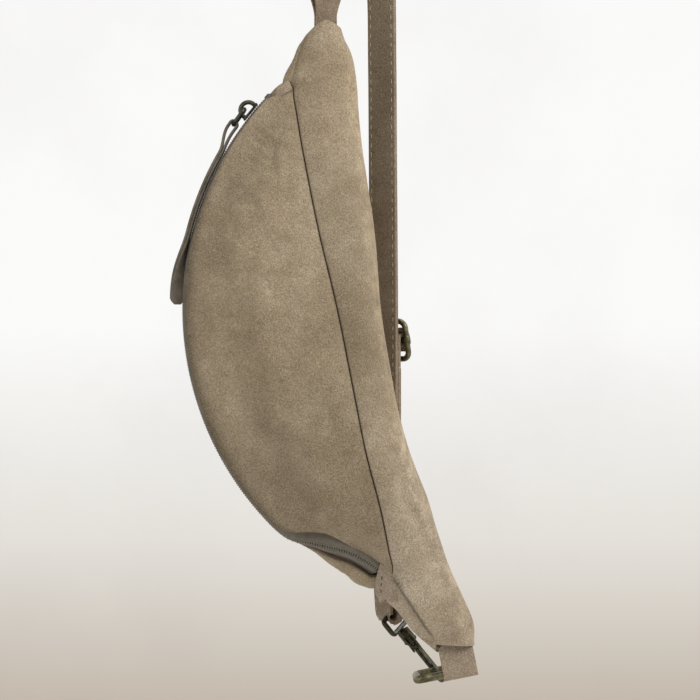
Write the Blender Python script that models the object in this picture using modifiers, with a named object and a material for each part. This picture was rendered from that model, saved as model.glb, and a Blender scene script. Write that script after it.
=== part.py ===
"""Suede half-moon belt bag, hanging by its strap. Metres, +Z up, origin under the top of the strap.

The camera side is -Y. The bag is laid out in its own axes: "along" runs from the upper tip to the
lower tip, "out" runs from the tips towards the zip, and "near" points to the front, which is -Y.
"""
import math

import bmesh
import bpy
from mathutils import Matrix, Vector

# Driving dimensions
bag_length = 0.372            # tip to tip
bag_depth = 0.1191            # line of the tips to the middle of the zip
bag_thickness = 0.062         # across the back band at its widest
bag_lean = math.radians(11.3)  # the tips' line from the vertical
strap_drop = 0.2204           # top of the hanging strap to the upper tip
tip_side = -0.0116            # upper tip, sideways from the hanging point
suede_thickness = 0.0014
seam_gap = 0.0003             # between pieces that touch
lining_thickness = 0.0006
lining_clearance = 0.0016     # lining to the inside of the suede

zip_radius = 0.1784           # of the arc that the zip follows
zip_start_angle = math.radians(-54.0)
zip_bend_angle = math.radians(33.0)
arc_centre_along_share = 0.4911   # of the bag's length
zip_half_width = 0.0054       # middle of the teeth to the inside of the suede
tooth_pitch = 0.0029
tooth_depth = 0.0018
tooth_height = 0.0024
tape_thickness = 0.0008
zip_end_turn = math.radians(62.0)  # how far the lower end of the zip turns to the front
slider_start_angle = math.radians(-50.5)

slider_length = 0.0098
slider_width = 0.0076
plate_thickness = 0.0012
bow_wire = 0.0022
bow_height = 0.0062
link_wire = 0.0020
link_length = 0.0130
link_width = 0.0098
pull_length = 0.108
pull_width = 0.0090
pull_thickness = 0.0024
pull_stand_off = 0.0042       # zip line to the inner face of the pull
pull_clear = 0.0029           # link to the start of the pull's blade
pull_end_stand_off = 0.0052   # the same as pull_stand_off at the lower end
pull_twist = math.radians(76)  # turn of the blade from edge on to face on
pull_twist_shares = (0.60, 0.36)  # where the turn starts and how far it goes on, of the blade
pull_eye_wall = 0.0012
link_place_share = 0.10       # of the slider's length, from its middle
link_rise = math.radians(-3)

strap_width = 0.020
strap_thickness = 0.0026
tab_thickness = 0.0014
tab_pinch_width = 0.0074      # of the upper tab inside the tip

ring_wire = 0.0046
ring_inner_width = 0.0278
ring_inner_depth = 0.0225
ring_side_clearance = 0.0005
tab_back_reach = 0.0043       # of the lower tab's back layer, from its middle to the ring's right side
top_ring_inner_width = 0.0225
top_ring_inner_depth = 0.0080
top_ring_wire = 0.0034

adjuster_wire = 0.0034
adjuster_height = 0.0262
adjuster_inner_width = 0.0212

hook_wire = 0.0046
hook_eye_wire = 0.0030
hook_eye_inner_width = 0.0230
hook_eye_inner_length = 0.0070
hook_length = 0.0510          # eye bar to the lower end of the bow
hook_bow_inner = 0.0088
barrel_radius = 0.0039
barrel_length = 0.0090
stem_radius = 0.0016
hook_clearance = 0.0004
gate_wire = 0.0026

# Shape of the bag along its length. The first row is the place along the bag.
place_shares = (0.0, 0.031, 0.064, 0.095, 0.146, 0.198, 0.319, 0.444,
                0.570, 0.670, 0.759, 0.826, 0.869, 0.890, 0.924, 0.962, 1.0)
crest_shares = (-0.045, -0.053, -0.070, -0.066, -0.048, -0.034, -0.014, 0.029,
                0.043, 0.034, -0.010, -0.029, -0.043, -0.056, -0.083, -0.106, -0.094)
edge_shares = (0.077, 0.154, 0.212, 0.243, 0.250, 0.255, 0.255, 0.241,
               0.241, 0.241, 0.226, 0.226, 0.236, 0.316, 0.250, 0.192, 0.100)
swell_shares = (0.21, 0.28, 0.36, 0.46, 0.60, 0.72, 0.90, 1.0,
                1.0, 0.92, 0.78, 0.66, 0.56, 0.50, 0.43, 0.35, 0.27)
open_shares = (0.0, 0.0, 0.0, 0.20, 0.46, 0.66, 0.90, 1.0,
               1.0, 0.92, 0.74, 0.56, 0.36, 0.0, 0.0, 0.0, 0.0)
seam_start_share = 0.095      # where the front and rear panels begin
seam_end_share = 0.869
# Lower end of the zip past its arc: along, out and near, of the bag's length, depth and thickness
zip_tail_shares = ((0.777, 0.690, 0.05), (0.795, 0.565, 0.10), (0.816, 0.424, 0.14),
                   (0.834, 0.350, 0.14), (0.853, 0.292, 0.12))
front_bulge_share = 0.11      # of the bag's thickness
rear_bulge_share = 0.12
rear_tail_bulge_share = 0.115  # of the bag's depth, at the lower end
panel_steps = 40
panel_across = 8
tip_steps = 6
lining_margin = 4
pull_steps = 20
band_across = 10

lower_tab_shares = (0.945, 0.000, 0.091)  # start along, place out, and reach, of the bag's length
upper_tab_shares = (0.045, 0.050, 0.118)
tab_inner_share = 0.70        # of the strap's width, inside the tip
strap_bend_radius = 0.0125    # inside of the bend over the hook or peg that the bag hangs from
sewn_loop_length = 0.022
# Right leg: sideways and back in bend radii, down in strap drops
right_leg_shares = ((0.30, 1.30, 0.20), (0.85, 1.75, 0.50), (1.30, 2.15, 0.85), (1.38, 2.35, 1.10),
                    (1.41, 2.50, 1.35), (1.44, 2.64, 1.58), (1.46, 2.70, 1.76))
strap_turn = math.radians(-38)  # the right edge is the nearer one
turn_shares = (0.42, 0.55)    # where the turn starts and how far down it goes on, in strap drops
straight_length = 0.118
lower_leg_shares = ((0.30, 0.12), (0.66, 0.50))  # way down to the eye and way in towards it
eye_shares = (0.934, 0.283)   # the hook's eye: along the bag's length and out of its depth
adjuster_drop = 0.018         # start of the straight leg to the adjuster's bar
hook_swing = math.radians(27.7)  # the hook's line from the bag's
top_end_tab_shares = (0.0865, 0.0150)    # place along and width, of the bag's length
top_end_tab_path_shares = ((0.262, 0.120), (0.320, 0.145), (0.385, 0.110), (0.408, 0.0))
low_end_tab_shares = (0.8990, 0.0140)
low_end_tab_path_shares = ((0.3006, 0.060), (0.3186, 0.040), (0.3266, 0.0), (0.3186, -0.040), (0.3006, -0.060))

half_thickness = bag_thickness / 2
along_axis = Vector((math.sin(bag_lean), 0, -math.cos(bag_lean)))
out_axis = Vector((-math.cos(bag_lean), 0, -math.sin(bag_lean)))
near_axis = Vector((0, -1, 0))
tip_point = Vector((tip_side, 0, -strap_drop))
arc_centre_along = arc_centre_along_share * bag_length
arc_centre_out = bag_depth - zip_radius


def place(along, out, near):
    """World point of a place given in the bag's own axes."""
    return tip_point + along * along_axis + out * out_axis + near * near_axis


def curve_through(xs, ys, x):
    """Smooth value at x of the curve through the points (xs, ys)."""
    k = 0
    while k < len(xs) - 2 and x > xs[k + 1]:
        k += 1

    def slope(i):
        lo = max(i - 1, 0)
        hi = min(i + 1, len(xs) - 1)
        return (ys[hi] - ys[lo]) / (xs[hi] - xs[lo])

    width = xs[k + 1] - xs[k]
    t = (x - xs[k]) / width
    a = 2 * t**3 - 3 * t**2 + 1
    b = t**3 - 2 * t**2 + t
    c = 3 * t**2 - 2 * t**3
    d = t**3 - t**2
    return a * ys[k] + b * width * slope(k) + c * ys[k + 1] + d * width * slope(k + 1)


def smooth_step(t):
    t = min(max(t, 0.0), 1.0)
    return t * t * (3 - 2 * t)


def bezier(p0, p1, p2, p3, t):
    return (1 - t)**3 * p0 + 3 * t * (1 - t)**2 * p1 + 3 * t * t * (1 - t) * p2 + t**3 * p3


def spline_points(points, steps):
    """Points on a smooth curve through a list of vectors, with some steps to each stretch."""
    xs = list(range(len(points)))
    result = []
    for i in range((len(points) - 1) * steps + 1):
        x = i / steps
        result.append(Vector([curve_through(xs, [p[n] for p in points], x) for n in range(3)]))
    return result


def resample(points, count):
    """The same line as count points at even distances."""
    lengths = [0.0]
    for a, b in zip(points, points[1:]):
        lengths.append(lengths[-1] + (b - a).length)
    result = []
    k = 0
    for i in range(count):
        want = lengths[-1] * i / (count - 1)
        while k < len(points) - 2 and lengths[k + 1] < want:
            k += 1
        t = (want - lengths[k]) / (lengths[k + 1] - lengths[k])
        result.append(points[k].lerp(points[k + 1], t))
    return result, lengths[-1]


# Scene, collections and materials

def clear_scene():
    for old in list(bpy.data.objects):
        bpy.data.objects.remove(old, do_unlink=True)


def new_collection(name):
    collection = bpy.data.collections.new(name)
    bpy.context.scene.collection.children.link(collection)
    return collection


finishes = {
    "suede": ((0.33, 0.26, 0.18), 0.95, 0.0),
    "strap_suede": ((0.24, 0.19, 0.14), 0.95, 0.0),
    "pull_leather": ((0.12, 0.10, 0.08), 0.85, 0.0),
    "lining": ((0.30, 0.26, 0.20), 0.9, 0.0),
    "zip_tape": ((0.14, 0.12, 0.10), 0.9, 0.0),
    "zip_metal": ((0.03, 0.03, 0.02), 0.4, 1.0),
    "antique_brass": ((0.16, 0.14, 0.07), 0.4, 1.0),
}


def give_material(thing, finish):
    colour, roughness, metallic = finishes[finish]
    material = bpy.data.materials.new(thing.name + "_" + finish)
    material.use_nodes = True
    shader = material.node_tree.nodes["Principled BSDF"]
    shader.inputs["Base Color"].default_value = (*colour, 1)
    shader.inputs["Roughness"].default_value = roughness
    shader.inputs["Metallic"].default_value = metallic
    thing.data.materials.clear()
    thing.data.materials.append(material)


def add_mesh(name, verts, faces, finish, collection, smooth=True, origin=None):
    base = origin if origin is not None else Vector((0, 0, 0))
    mesh = bpy.data.meshes.new(name)
    mesh.from_pydata([v - base for v in verts], [], faces)
    mesh.update()
    if smooth:
        mesh.shade_smooth()
        mesh.set_sharp_from_angle(angle=math.radians(40))
    thing = bpy.data.objects.new(name, mesh)
    thing.location = base
    collection.objects.link(thing)
    if finish:
        give_material(thing, finish)
    return thing


def loft_sheet(name, grid, thickness, finish, collection, flip=False):
    """An open lofted sheet with its wall on the inner side."""
    rows, columns = len(grid), len(grid[0])
    verts = [p for row in grid for p in row]
    faces = []
    for i in range(rows - 1):
        for j in range(columns - 1):
            a = i * columns + j
            face = (a, a + 1, a + columns + 1, a + columns)
            faces.append(face[::-1] if flip else face)
    thing = add_mesh(name, verts, faces, finish, collection)
    wall = thing.modifiers.new("wall", "SOLIDIFY")
    wall.thickness = thickness
    wall.offset = -1
    wall.use_even_offset = True
    wall.use_rim = True
    return thing


def loft_bar(name, sections, finish, collection, closed=False, origin=None):
    """A closed bar through sections that all have the same number of corners."""
    corners = len(sections[0])
    verts = [p for section in sections for p in section]
    faces = []
    count = len(sections)
    for i in range(count if closed else count - 1):
        j = (i + 1) % count
        for k in range(corners):
            m = (k + 1) % corners
            faces.append((i * corners + k, i * corners + m, j * corners + m, j * corners + k))
    if not closed:
        faces.append(tuple(range(corners))[::-1])
        faces.append(tuple((count - 1) * corners + k for k in range(corners)))
    thing = add_mesh(name, verts, faces, finish, collection, origin=origin)
    solid = bmesh.new()
    solid.from_mesh(thing.data)
    bmesh.ops.recalc_face_normals(solid, faces=solid.faces)
    solid.to_mesh(thing.data)
    solid.free()
    return thing


def ribbon(name, path, wides, width, thickness, finish, collection, origin=None):
    """A flat strap along a path. wides gives the direction of its width at each point."""
    sections = []
    for i, point in enumerate(path):
        ahead = (path[min(i + 1, len(path) - 1)] - path[max(i - 1, 0)]).normalized()
        wide = wides[i] if isinstance(wides, list) else wides
        wide = (wide - ahead * wide.dot(ahead)).normalized()
        thick = ahead.cross(wide).normalized()
        half = (width[i] if isinstance(width, list) else width) / 2
        w = wide * half
        t = thick * thickness / 2
        sections.append([point - w - t, point + w - t, point + w + t, point - w + t])
    return loft_bar(name, sections, finish, collection, origin=origin)


def wire(name, points, diameter, finish, collection, cyclic=False, origin=None, sides=2):
    """A round wire through the points, as a mesh with welded caps."""
    base = origin if origin is not None else Vector((0, 0, 0))
    curve = bpy.data.curves.new(name, "CURVE")
    curve.dimensions = "3D"
    curve.bevel_depth = diameter / 2
    curve.bevel_resolution = sides
    curve.use_fill_caps = True
    spline = curve.splines.new("POLY")
    spline.points.add(len(points) - 1)
    for spot, point in zip(spline.points, points):
        spot.co = (*(point - base), 1)
    spline.use_cyclic_u = cyclic
    rod = bpy.data.objects.new(name + "_curve", curve)
    rod.location = base
    collection.objects.link(rod)
    bpy.context.view_layer.update()
    graph = bpy.context.evaluated_depsgraph_get()
    mesh = bpy.data.meshes.new_from_object(rod.evaluated_get(graph))
    mesh.name = name
    thing = bpy.data.objects.new(name, mesh)
    thing.matrix_world = rod.matrix_world
    collection.objects.link(thing)
    bpy.data.objects.remove(rod, do_unlink=True)
    solid = bmesh.new()
    solid.from_mesh(mesh)
    bmesh.ops.remove_doubles(solid, verts=solid.verts, dist=diameter * 0.001)
    bmesh.ops.recalc_face_normals(solid, faces=solid.faces)
    solid.to_mesh(mesh)
    solid.free()
    mesh.shade_smooth()
    mesh.set_sharp_from_angle(angle=math.radians(40))
    give_material(thing, finish)
    return thing


def cylinder(name, start, end, radius, finish, collection, sides=16):
    axis = end - start
    bpy.ops.mesh.primitive_cylinder_add(vertices=sides, radius=radius, depth=axis.length)
    thing = bpy.context.object
    thing.name = name
    thing.data.name = name
    turn = axis.to_track_quat("Z", "Y").to_matrix().to_4x4()
    thing.matrix_world = Matrix.Translation((start + end) / 2) @ turn
    for old in list(thing.users_collection):
        old.objects.unlink(thing)
    collection.objects.link(thing)
    if finish:
        give_material(thing, finish)
    return thing


def box(name, centre, axes, sizes, finish, collection, bevel=0.0, origin=None):
    """A box on its own three axes, with rounded edges where bevel is given."""
    base = origin if origin is not None else centre
    bpy.ops.mesh.primitive_cube_add(size=1)
    thing = bpy.context.object
    thing.name = name
    thing.data.name = name
    turn = Matrix((axes[0], axes[1], axes[2])).transposed()
    for v in thing.data.vertices:
        v.co = turn @ Vector([c * s for c, s in zip(v.co, sizes)]) + (centre - base)
    if turn.determinant() < 0:
        thing.data.flip_normals()
    thing.location = base
    for old in list(thing.users_collection):
        old.objects.unlink(thing)
    collection.objects.link(thing)
    if bevel:
        rounding = thing.modifiers.new("edges", "BEVEL")
        rounding.width = bevel
        rounding.segments = 2
    if finish:
        give_material(thing, finish)
    return thing


def boolean(thing, tool, operation, collection):
    """Joins or cuts with another object, which stays hidden among the cutters."""
    step = thing.modifiers.new(tool.name, "BOOLEAN")
    step.operation = operation
    step.solver = "EXACT"
    step.object = tool
    for old in list(tool.users_collection):
        old.objects.unlink(tool)
    collection.objects.link(tool)
    tool.hide_render = True
    tool.display_type = "WIRE"


# The bag's surfaces

def share_at(table, place_share):
    return curve_through(place_shares, table, place_share)


def edge_point(place_share, side):
    """Edge of the back band, which is the seam with a panel where there is one."""
    out = share_at(edge_shares, place_share) * bag_depth
    near = max(share_at(open_shares, place_share), 0) * half_thickness + seam_gap / 2
    return Vector((place_share * bag_length, out, side * near))


def band_section(place_share):
    """Points across the back band, from its front edge over the crest to its rear edge."""
    crest = share_at(crest_shares, place_share) * bag_depth
    swell = share_at(swell_shares, place_share) * half_thickness
    front = edge_point(place_share, 1)
    along = front.x
    opening = min(max(share_at(open_shares, place_share), 0) * half_thickness / swell, 1.0)
    fullness = 1.30 - 0.26 * opening
    depth = front.y - crest
    shoulder = Vector((along, front.y - 0.32 * depth, max(front.z, swell * fullness)))
    flank = Vector((along, crest, swell * (0.98 - 0.22 * opening)))
    top = Vector((along, crest, 0))
    half = band_across // 2
    points = [bezier(front, shoulder, flank, top, i / half) for i in range(half + 1)]
    mirror = [Vector((p.x, p.y, -p.z)) for p in points[:-1]]
    return points + mirror[::-1]


def zip_line():
    """The zip's middle line in the bag's axes: an arc, then the lower end that turns to the front."""
    steps = 60
    points = []
    for i in range(steps + 1):
        angle = zip_start_angle + (zip_bend_angle - zip_start_angle) * i / steps
        points.append(Vector((arc_centre_along + zip_radius * math.sin(angle),
                              arc_centre_out + zip_radius * math.cos(angle), 0)))
    tail = [points[-2], points[-1]]
    tail += [Vector((a * bag_length, o * bag_depth, n * bag_thickness)) for a, o, n in zip_tail_shares]
    smooth = spline_points(tail, 8)
    return points[:-1] + smooth[8:]


zip_points = zip_line()
arc_length = zip_radius * (zip_bend_angle - zip_start_angle)


def zip_frames(count):
    """Even places on the zip: its middle, its direction, its outward side and its width."""
    points, length = resample(zip_points, count)
    frames = []
    for i, point in enumerate(points):
        ahead = (points[min(i + 1, count - 1)] - points[max(i - 1, 0)]).normalized()
        flat = Vector((-ahead.y, ahead.x, 0)).normalized()
        near = ahead.cross(flat)
        if near.z < 0:
            near = -near
        travelled = length * i / (count - 1)
        turn = zip_end_turn * smooth_step((travelled - arc_length) / (0.55 * (length - arc_length)))
        normal = flat * math.cos(turn) + near * math.sin(turn)
        wide = near * math.cos(turn) - flat * math.sin(turn)
        frames.append((point, ahead, normal, wide, travelled / length))
    return frames


def panel_grid(side):
    """Front (side 1) or rear (side -1) panel: rows along the zip, columns from seam to zip."""
    grid = []
    for i, (point, ahead, normal, wide, done) in enumerate(zip_frames(panel_steps + 1)):
        place_share = seam_start_share + (seam_end_share - seam_start_share) * i / panel_steps
        seam = edge_point(place_share, side)
        edge = point + wide * side * (zip_half_width + suede_thickness + 1.5 * seam_gap)
        belly = math.sin(math.pi * min(max(done, 0.02), 0.98))**0.6
        share = front_bulge_share if side > 0 else rear_bulge_share
        bulge = Vector((0, 0, side)) * bag_thickness * share * belly
        tail = smooth_step((done - 0.78) / 0.12) * smooth_step((1.04 - done) / 0.10)
        lift = normal * bag_depth * rear_tail_bulge_share * tail
        first = seam.lerp(edge, 0.33) + bulge
        second = seam.lerp(edge, 0.72) + bulge * 0.9
        if side < 0:
            flat = Vector((-ahead.y, ahead.x, 0)).normalized()
            second = second + flat * bag_depth * rear_tail_bulge_share * tail * 1.6
            second = second + Vector((0, 0, -1)) * bag_thickness * 0.03 * tail
            first = first + flat * bag_depth * rear_tail_bulge_share * tail * 0.8
        else:
            second = second - lift * 0.25
        row = [bezier(seam, first, second, edge, j / panel_across) for j in range(panel_across + 1)]
        grid.append(row)
    return grid


def draw_back(edge, inside, other):
    """Moves an edge point in from the seam, so that two walls that meet at an angle stay clear."""
    one = (inside - edge).normalized()
    two = (other - edge).normalized()
    angle = one.angle(two)
    reach = suede_thickness * math.tan((math.pi - angle) / 2) + seam_gap / 2
    return edge + one * min(reach, 1.6 * suede_thickness)


def bag_grids():
    front = panel_grid(1)
    rear = panel_grid(-1)
    shares = [seam_start_share * i / tip_steps for i in range(tip_steps)]
    shares += [seam_start_share + (seam_end_share - seam_start_share) * i / panel_steps
               for i in range(panel_steps + 1)]
    shares += [seam_end_share + (1 - seam_end_share) * i / tip_steps for i in range(1, tip_steps + 1)]
    band = [band_section(s) for s in shares]
    for i in range(panel_steps + 1):
        row = band[tip_steps + i]
        front_edge, front_in = front[i][0], front[i][1]
        rear_edge, rear_in = rear[i][0], rear[i][1]
        band_front_in, band_rear_in = row[1], row[-2]
        band_front, band_rear = row[0], row[-1]
        front[i][0] = draw_back(front_edge, front_in, band_front_in)
        rear[i][0] = draw_back(rear_edge, rear_in, band_rear_in)
        row[0] = draw_back(band_front, band_front_in, front_in)
        row[-1] = draw_back(band_rear, band_rear_in, rear_in)
    return front, rear, band


def to_world(grid):
    return [[place(p.x, p.y, p.z) for p in row] for row in grid]


def make_panels(collection):
    front, rear, band = bag_grids()
    loft_sheet("front_panel", to_world(front), suede_thickness, "suede", collection)
    loft_sheet("rear_panel", to_world(rear), suede_thickness, "suede", collection, flip=True)
    loft_sheet("back_panel", to_world(band), suede_thickness, "suede", collection, flip=True)


# Zip

def make_stringer(name, side, collection):
    """One tape with its row of teeth. The two rows share a zigzag line and interlock along it."""
    length = resample(zip_points, 2)[1]
    teeth = int(length / tooth_pitch)
    frames = zip_frames(2 * teeth + 1)
    sections = []
    for i, (point, ahead, normal, wide, done) in enumerate(frames):
        swing = tooth_depth / 2 * (1 if i % 2 else -1)
        inner = point + wide * (swing + side * seam_gap / 2)
        outer = point + wide * side * zip_half_width
        top = normal * tooth_height / 2
        tape = normal * tape_thickness / 2
        section = [inner - top, outer - tape, outer + tape, inner + top]
        sections.append([place(p.x, p.y, p.z) for p in section])
    return loft_bar(name, sections, "zip_tape", collection)


def zip_axes(angle):
    """World middle, direction, outward side and width of the zip at an angle on its arc."""
    middle = place(arc_centre_along + zip_radius * math.sin(angle),
                   arc_centre_out + zip_radius * math.cos(angle), 0)
    out = along_axis * math.sin(angle) + out_axis * math.cos(angle)
    ahead = along_axis * math.cos(angle) - out_axis * math.sin(angle)
    return middle, ahead, out, near_axis


def make_zip(collection):
    make_stringer("zip_stringer_front", 1, collection)
    make_stringer("zip_stringer_rear", -1, collection)
    stop_length = 1.2 * tooth_pitch
    point, ahead, normal, wide, done = zip_frames(200)[0]
    axes = [Vector((v.x * along_axis + v.y * out_axis + v.z * near_axis)) for v in (ahead, normal, wide)]
    middle = place(point.x, point.y, point.z) - axes[0] * (stop_length / 2 + seam_gap)
    box("zip_top_stop", middle, axes, (stop_length, 1.4 * tooth_height, 2.4 * tooth_depth),
        "zip_metal", collection, bevel=0.1 * stop_length)
    point, ahead, normal, wide, done = zip_frames(200)[-1]
    axes = [Vector((v.x * along_axis + v.y * out_axis + v.z * near_axis)) for v in (ahead, normal, wide)]
    middle = place(point.x, point.y, point.z) + axes[0] * (stop_length / 2 + seam_gap)
    box("zip_bottom_stop", middle, axes, (stop_length, 1.4 * tooth_height, 2.4 * tooth_depth),
        "zip_metal", collection, bevel=0.1 * stop_length)


def make_slider(collection):
    middle, ahead, out, near = zip_axes(slider_start_angle)
    axes = (ahead, out, near)
    pivot = place(arc_centre_along, arc_centre_out, 0)
    lift = tooth_height / 2 + seam_gap + slider_length**2 / (8 * zip_radius) + plate_thickness / 2
    sizes = (slider_length, plate_thickness, slider_width)
    box("zip_slider_body", middle + out * lift, axes, sizes, "zip_metal", collection,
        bevel=0.35 * plate_thickness, origin=pivot)
    back_lift = tooth_height / 2 + 2 * seam_gap + plate_thickness / 2
    box("zip_slider_back", middle - out * back_lift, axes, sizes, "zip_metal", collection,
        bevel=0.35 * plate_thickness, origin=pivot)
    seat = middle + out * (lift + plate_thickness / 2 + seam_gap)
    base = seat + out * bow_wire / 2
    half = slider_length * 0.5 - bow_wire / 2
    rise = bow_height - bow_wire
    arch = [seat - ahead * half]
    steps = 10
    for i in range(steps + 1):
        turn = math.pi * i / steps
        arch.append(base + ahead * (-math.cos(turn) * half) + out * (math.sin(turn) * rise))
    arch.append(seat + ahead * half)
    wire("zip_slider_bow", arch, bow_wire, "zip_metal", collection, origin=pivot)


def stadium(centre, long_axis, wide_axis, length, width, corner, steps=5):
    """A closed rounded rectangle of the wire's middle line."""
    points = []
    for side, (sx, sy) in enumerate(((1, 1), (-1, 1), (-1, -1), (1, -1))):
        for i in range(steps + 1):
            turn = math.radians(90) * (side + i / steps)
            x = sx * (length / 2 - corner) + corner * math.cos(turn)
            y = sy * (width / 2 - corner) + corner * math.sin(turn)
            points.append(centre + long_axis * x + wide_axis * y)
    return points


def make_pull(collection):
    """The oval link through the bow, and the leather pull folded through the link."""
    middle, ahead, out, near = zip_axes(slider_start_angle)
    top = tooth_height / 2 + seam_gap + slider_length**2 / (8 * zip_radius) + plate_thickness
    bow_base = middle + out * (top + seam_gap + bow_wire / 2)
    lift = bow_height - 1.5 * bow_wire - link_wire / 2 - seam_gap
    link_pivot = bow_base + ahead * (link_place_share * slider_length) + out * lift
    run = link_length - link_wire
    link_ahead = ahead * math.cos(link_rise) + out * math.sin(link_rise)
    centre = link_pivot + link_ahead * run / 2
    corner = 0.75 * link_wire
    points = stadium(centre, link_ahead, near, run, link_width - link_wire, corner)
    wire("zip_pull_link", points, link_wire, "zip_metal", collection, cyclic=True, origin=link_pivot)
    pull_pivot = link_pivot + link_ahead * run
    hub = place(arc_centre_along, arc_centre_out, 0)
    spoke = pull_pivot - hub
    start_angle = math.atan2(spoke.dot(along_axis), spoke.dot(out_axis))
    rest_radius = zip_radius + pull_stand_off + pull_thickness / 2
    path = []
    wides = []
    for i in range(pull_steps + 1):
        t = i / pull_steps
        angle = start_angle + ((pull_length - pull_clear) * t + pull_clear) / zip_radius
        twist = smooth_step((t - pull_twist_shares[0]) / pull_twist_shares[1])
        radius = spoke.length + (rest_radius - spoke.length) * smooth_step(t * 5)
        radius += (pull_end_stand_off - pull_stand_off) * twist
        outward = along_axis * math.sin(angle) + out_axis * math.cos(angle)
        path.append(hub + outward * radius)
        wides.append(near_axis * math.cos(pull_twist * twist) + outward * math.sin(pull_twist * twist))
    widths = [pull_width * (0.62 + 0.38 * smooth_step(4 * i / pull_steps)) for i in range(pull_steps + 1)]
    widths[-1] = pull_width * 0.62
    ribbon("zip_pull_leather", path, wides, widths, pull_thickness, "pull_leather", collection,
           origin=pull_pivot)
    first = (path[1] - path[0]).normalized()
    side = first.cross(near_axis)
    inner = link_wire / 2 + seam_gap
    wall = pull_eye_wall
    eye = []
    for i in range(11):
        turn = math.pi * (0.90 - 1.80 * i / 10)
        eye.append(pull_pivot - first * (inner + wall / 2) * math.cos(turn)
                   + side * (inner + wall / 2) * math.sin(turn))
    ribbon("zip_pull_eye", eye, near_axis, pull_width * 0.48, wall, "pull_leather", collection,
           origin=pull_pivot)


def fold_path(top, down, side, bar_gap, reach, radius, inner_steps=5, bend_steps=8):
    """A strip's middle line: down one layer, round a bar and up again."""
    legs = []
    for i in range(inner_steps):
        t = i / inner_steps
        legs.append((t, bar_gap + (radius - bar_gap) * smooth_step((t - 0.35) / 0.65)))
    points = [top + down * reach * t + side * gap for t, gap in legs]
    for i in range(bend_steps + 1):
        turn = math.pi * i / bend_steps
        points.append(top + down * (reach + radius * math.sin(turn)) + side * radius * math.cos(turn))
    points += [top + down * reach * t - side * gap for t, gap in reversed(legs)]
    return points


def make_tabs(collection):
    """The folded leather tab in each tip, with its ring."""
    radius = ring_wire / 2 + seam_gap + tab_thickness / 2
    gap = tab_thickness / 2 + seam_gap / 2
    top = place(bag_length * lower_tab_shares[0], bag_depth * lower_tab_shares[1], 0)
    reach = bag_length * lower_tab_shares[2]
    path = fold_path(top, along_axis, near_axis, gap, reach, radius)
    bar = top + along_axis * reach
    inner = strap_width * tab_inner_share
    widths = []
    middles = []
    for p in path:
        down = (p - top).dot(along_axis)
        behind = (p - top).dot(-near_axis)
        full = inner + (strap_width - inner) * smooth_step((down / reach - 0.63) / 0.16)
        under = smooth_step((down - reach) / (0.9 * radius)) if behind < 0 else 1.0
        right = full / 2 + (min(tab_back_reach, full / 2) - full / 2) * under
        widths.append(full / 2 + right)
        middles.append(p + out_axis * (full / 2 - right) / 2)
    ribbon("tab_bottom", middles, out_axis, widths, tab_thickness, "suede", collection)
    ring_length = ring_inner_width + ring_wire
    ring_depth = ring_inner_depth + ring_wire
    left_end = ring_inner_width - tab_back_reach - ring_side_clearance
    centre = bar + out_axis * (left_end - ring_inner_width / 2) - near_axis * ring_depth / 2
    wire("ring_bottom", stadium(centre, out_axis, near_axis, ring_length, ring_depth, 0.75 * ring_wire),
         ring_wire, "antique_brass", collection, cyclic=True, origin=bar)
    up = Vector((0, 0, 1))
    across = Vector((1, 0, 0))
    radius = top_ring_wire / 2 + seam_gap + tab_thickness / 2
    start = place(bag_length * upper_tab_shares[0], bag_depth * upper_tab_shares[1], 0)
    reach = bag_length * upper_tab_shares[2]
    path = fold_path(start, up, near_axis, gap, reach, radius)
    widths = [tab_pinch_width + (strap_width - tab_pinch_width)
              * smooth_step(((p - start).dot(up) / reach - 0.44) / 0.32) for p in path]
    ribbon("tab_top", path, across, widths, tab_thickness, "suede", collection)
    top_bar = start + up * reach
    ring_length = top_ring_inner_width + top_ring_wire
    ring_height = top_ring_inner_depth + top_ring_wire
    middle = top_bar + up * ring_height / 2
    wire("ring_top", stadium(middle, across, up, ring_length, ring_height, 0.8 * top_ring_wire),
         top_ring_wire, "antique_brass", collection, cyclic=True, origin=top_bar)
    return top_bar + up * ring_height


def make_end_tabs(collection):
    """The small leather pieces that close the zip's two ends."""
    for name, (along_share, width_share), shares, mirror in (
            ("zip_end_tab_top", top_end_tab_shares, top_end_tab_path_shares, True),
            ("zip_end_tab_bottom", low_end_tab_shares, low_end_tab_path_shares, False)):
        points = [Vector((along_share * bag_length, o * bag_depth, n * bag_thickness)) for o, n in shares]
        if mirror:
            points += [Vector((p.x, p.y, -p.z)) for p in points[-2::-1]]
        path = [place(p.x, p.y, p.z) for p in spline_points(points, 4)]
        ribbon(name, path, along_axis, width_share * bag_length, tab_thickness, "suede", collection)


# Strap

def turned(angle):
    """Direction of the strap's width: sideways at zero, front to back at a right angle."""
    return Vector((math.cos(angle), math.sin(angle), 0))


def behind_strap(angle):
    """Direction from the strap's face to the layers that lie behind it."""
    return Vector((0, 0, 1)).cross(turned(angle))


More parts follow.
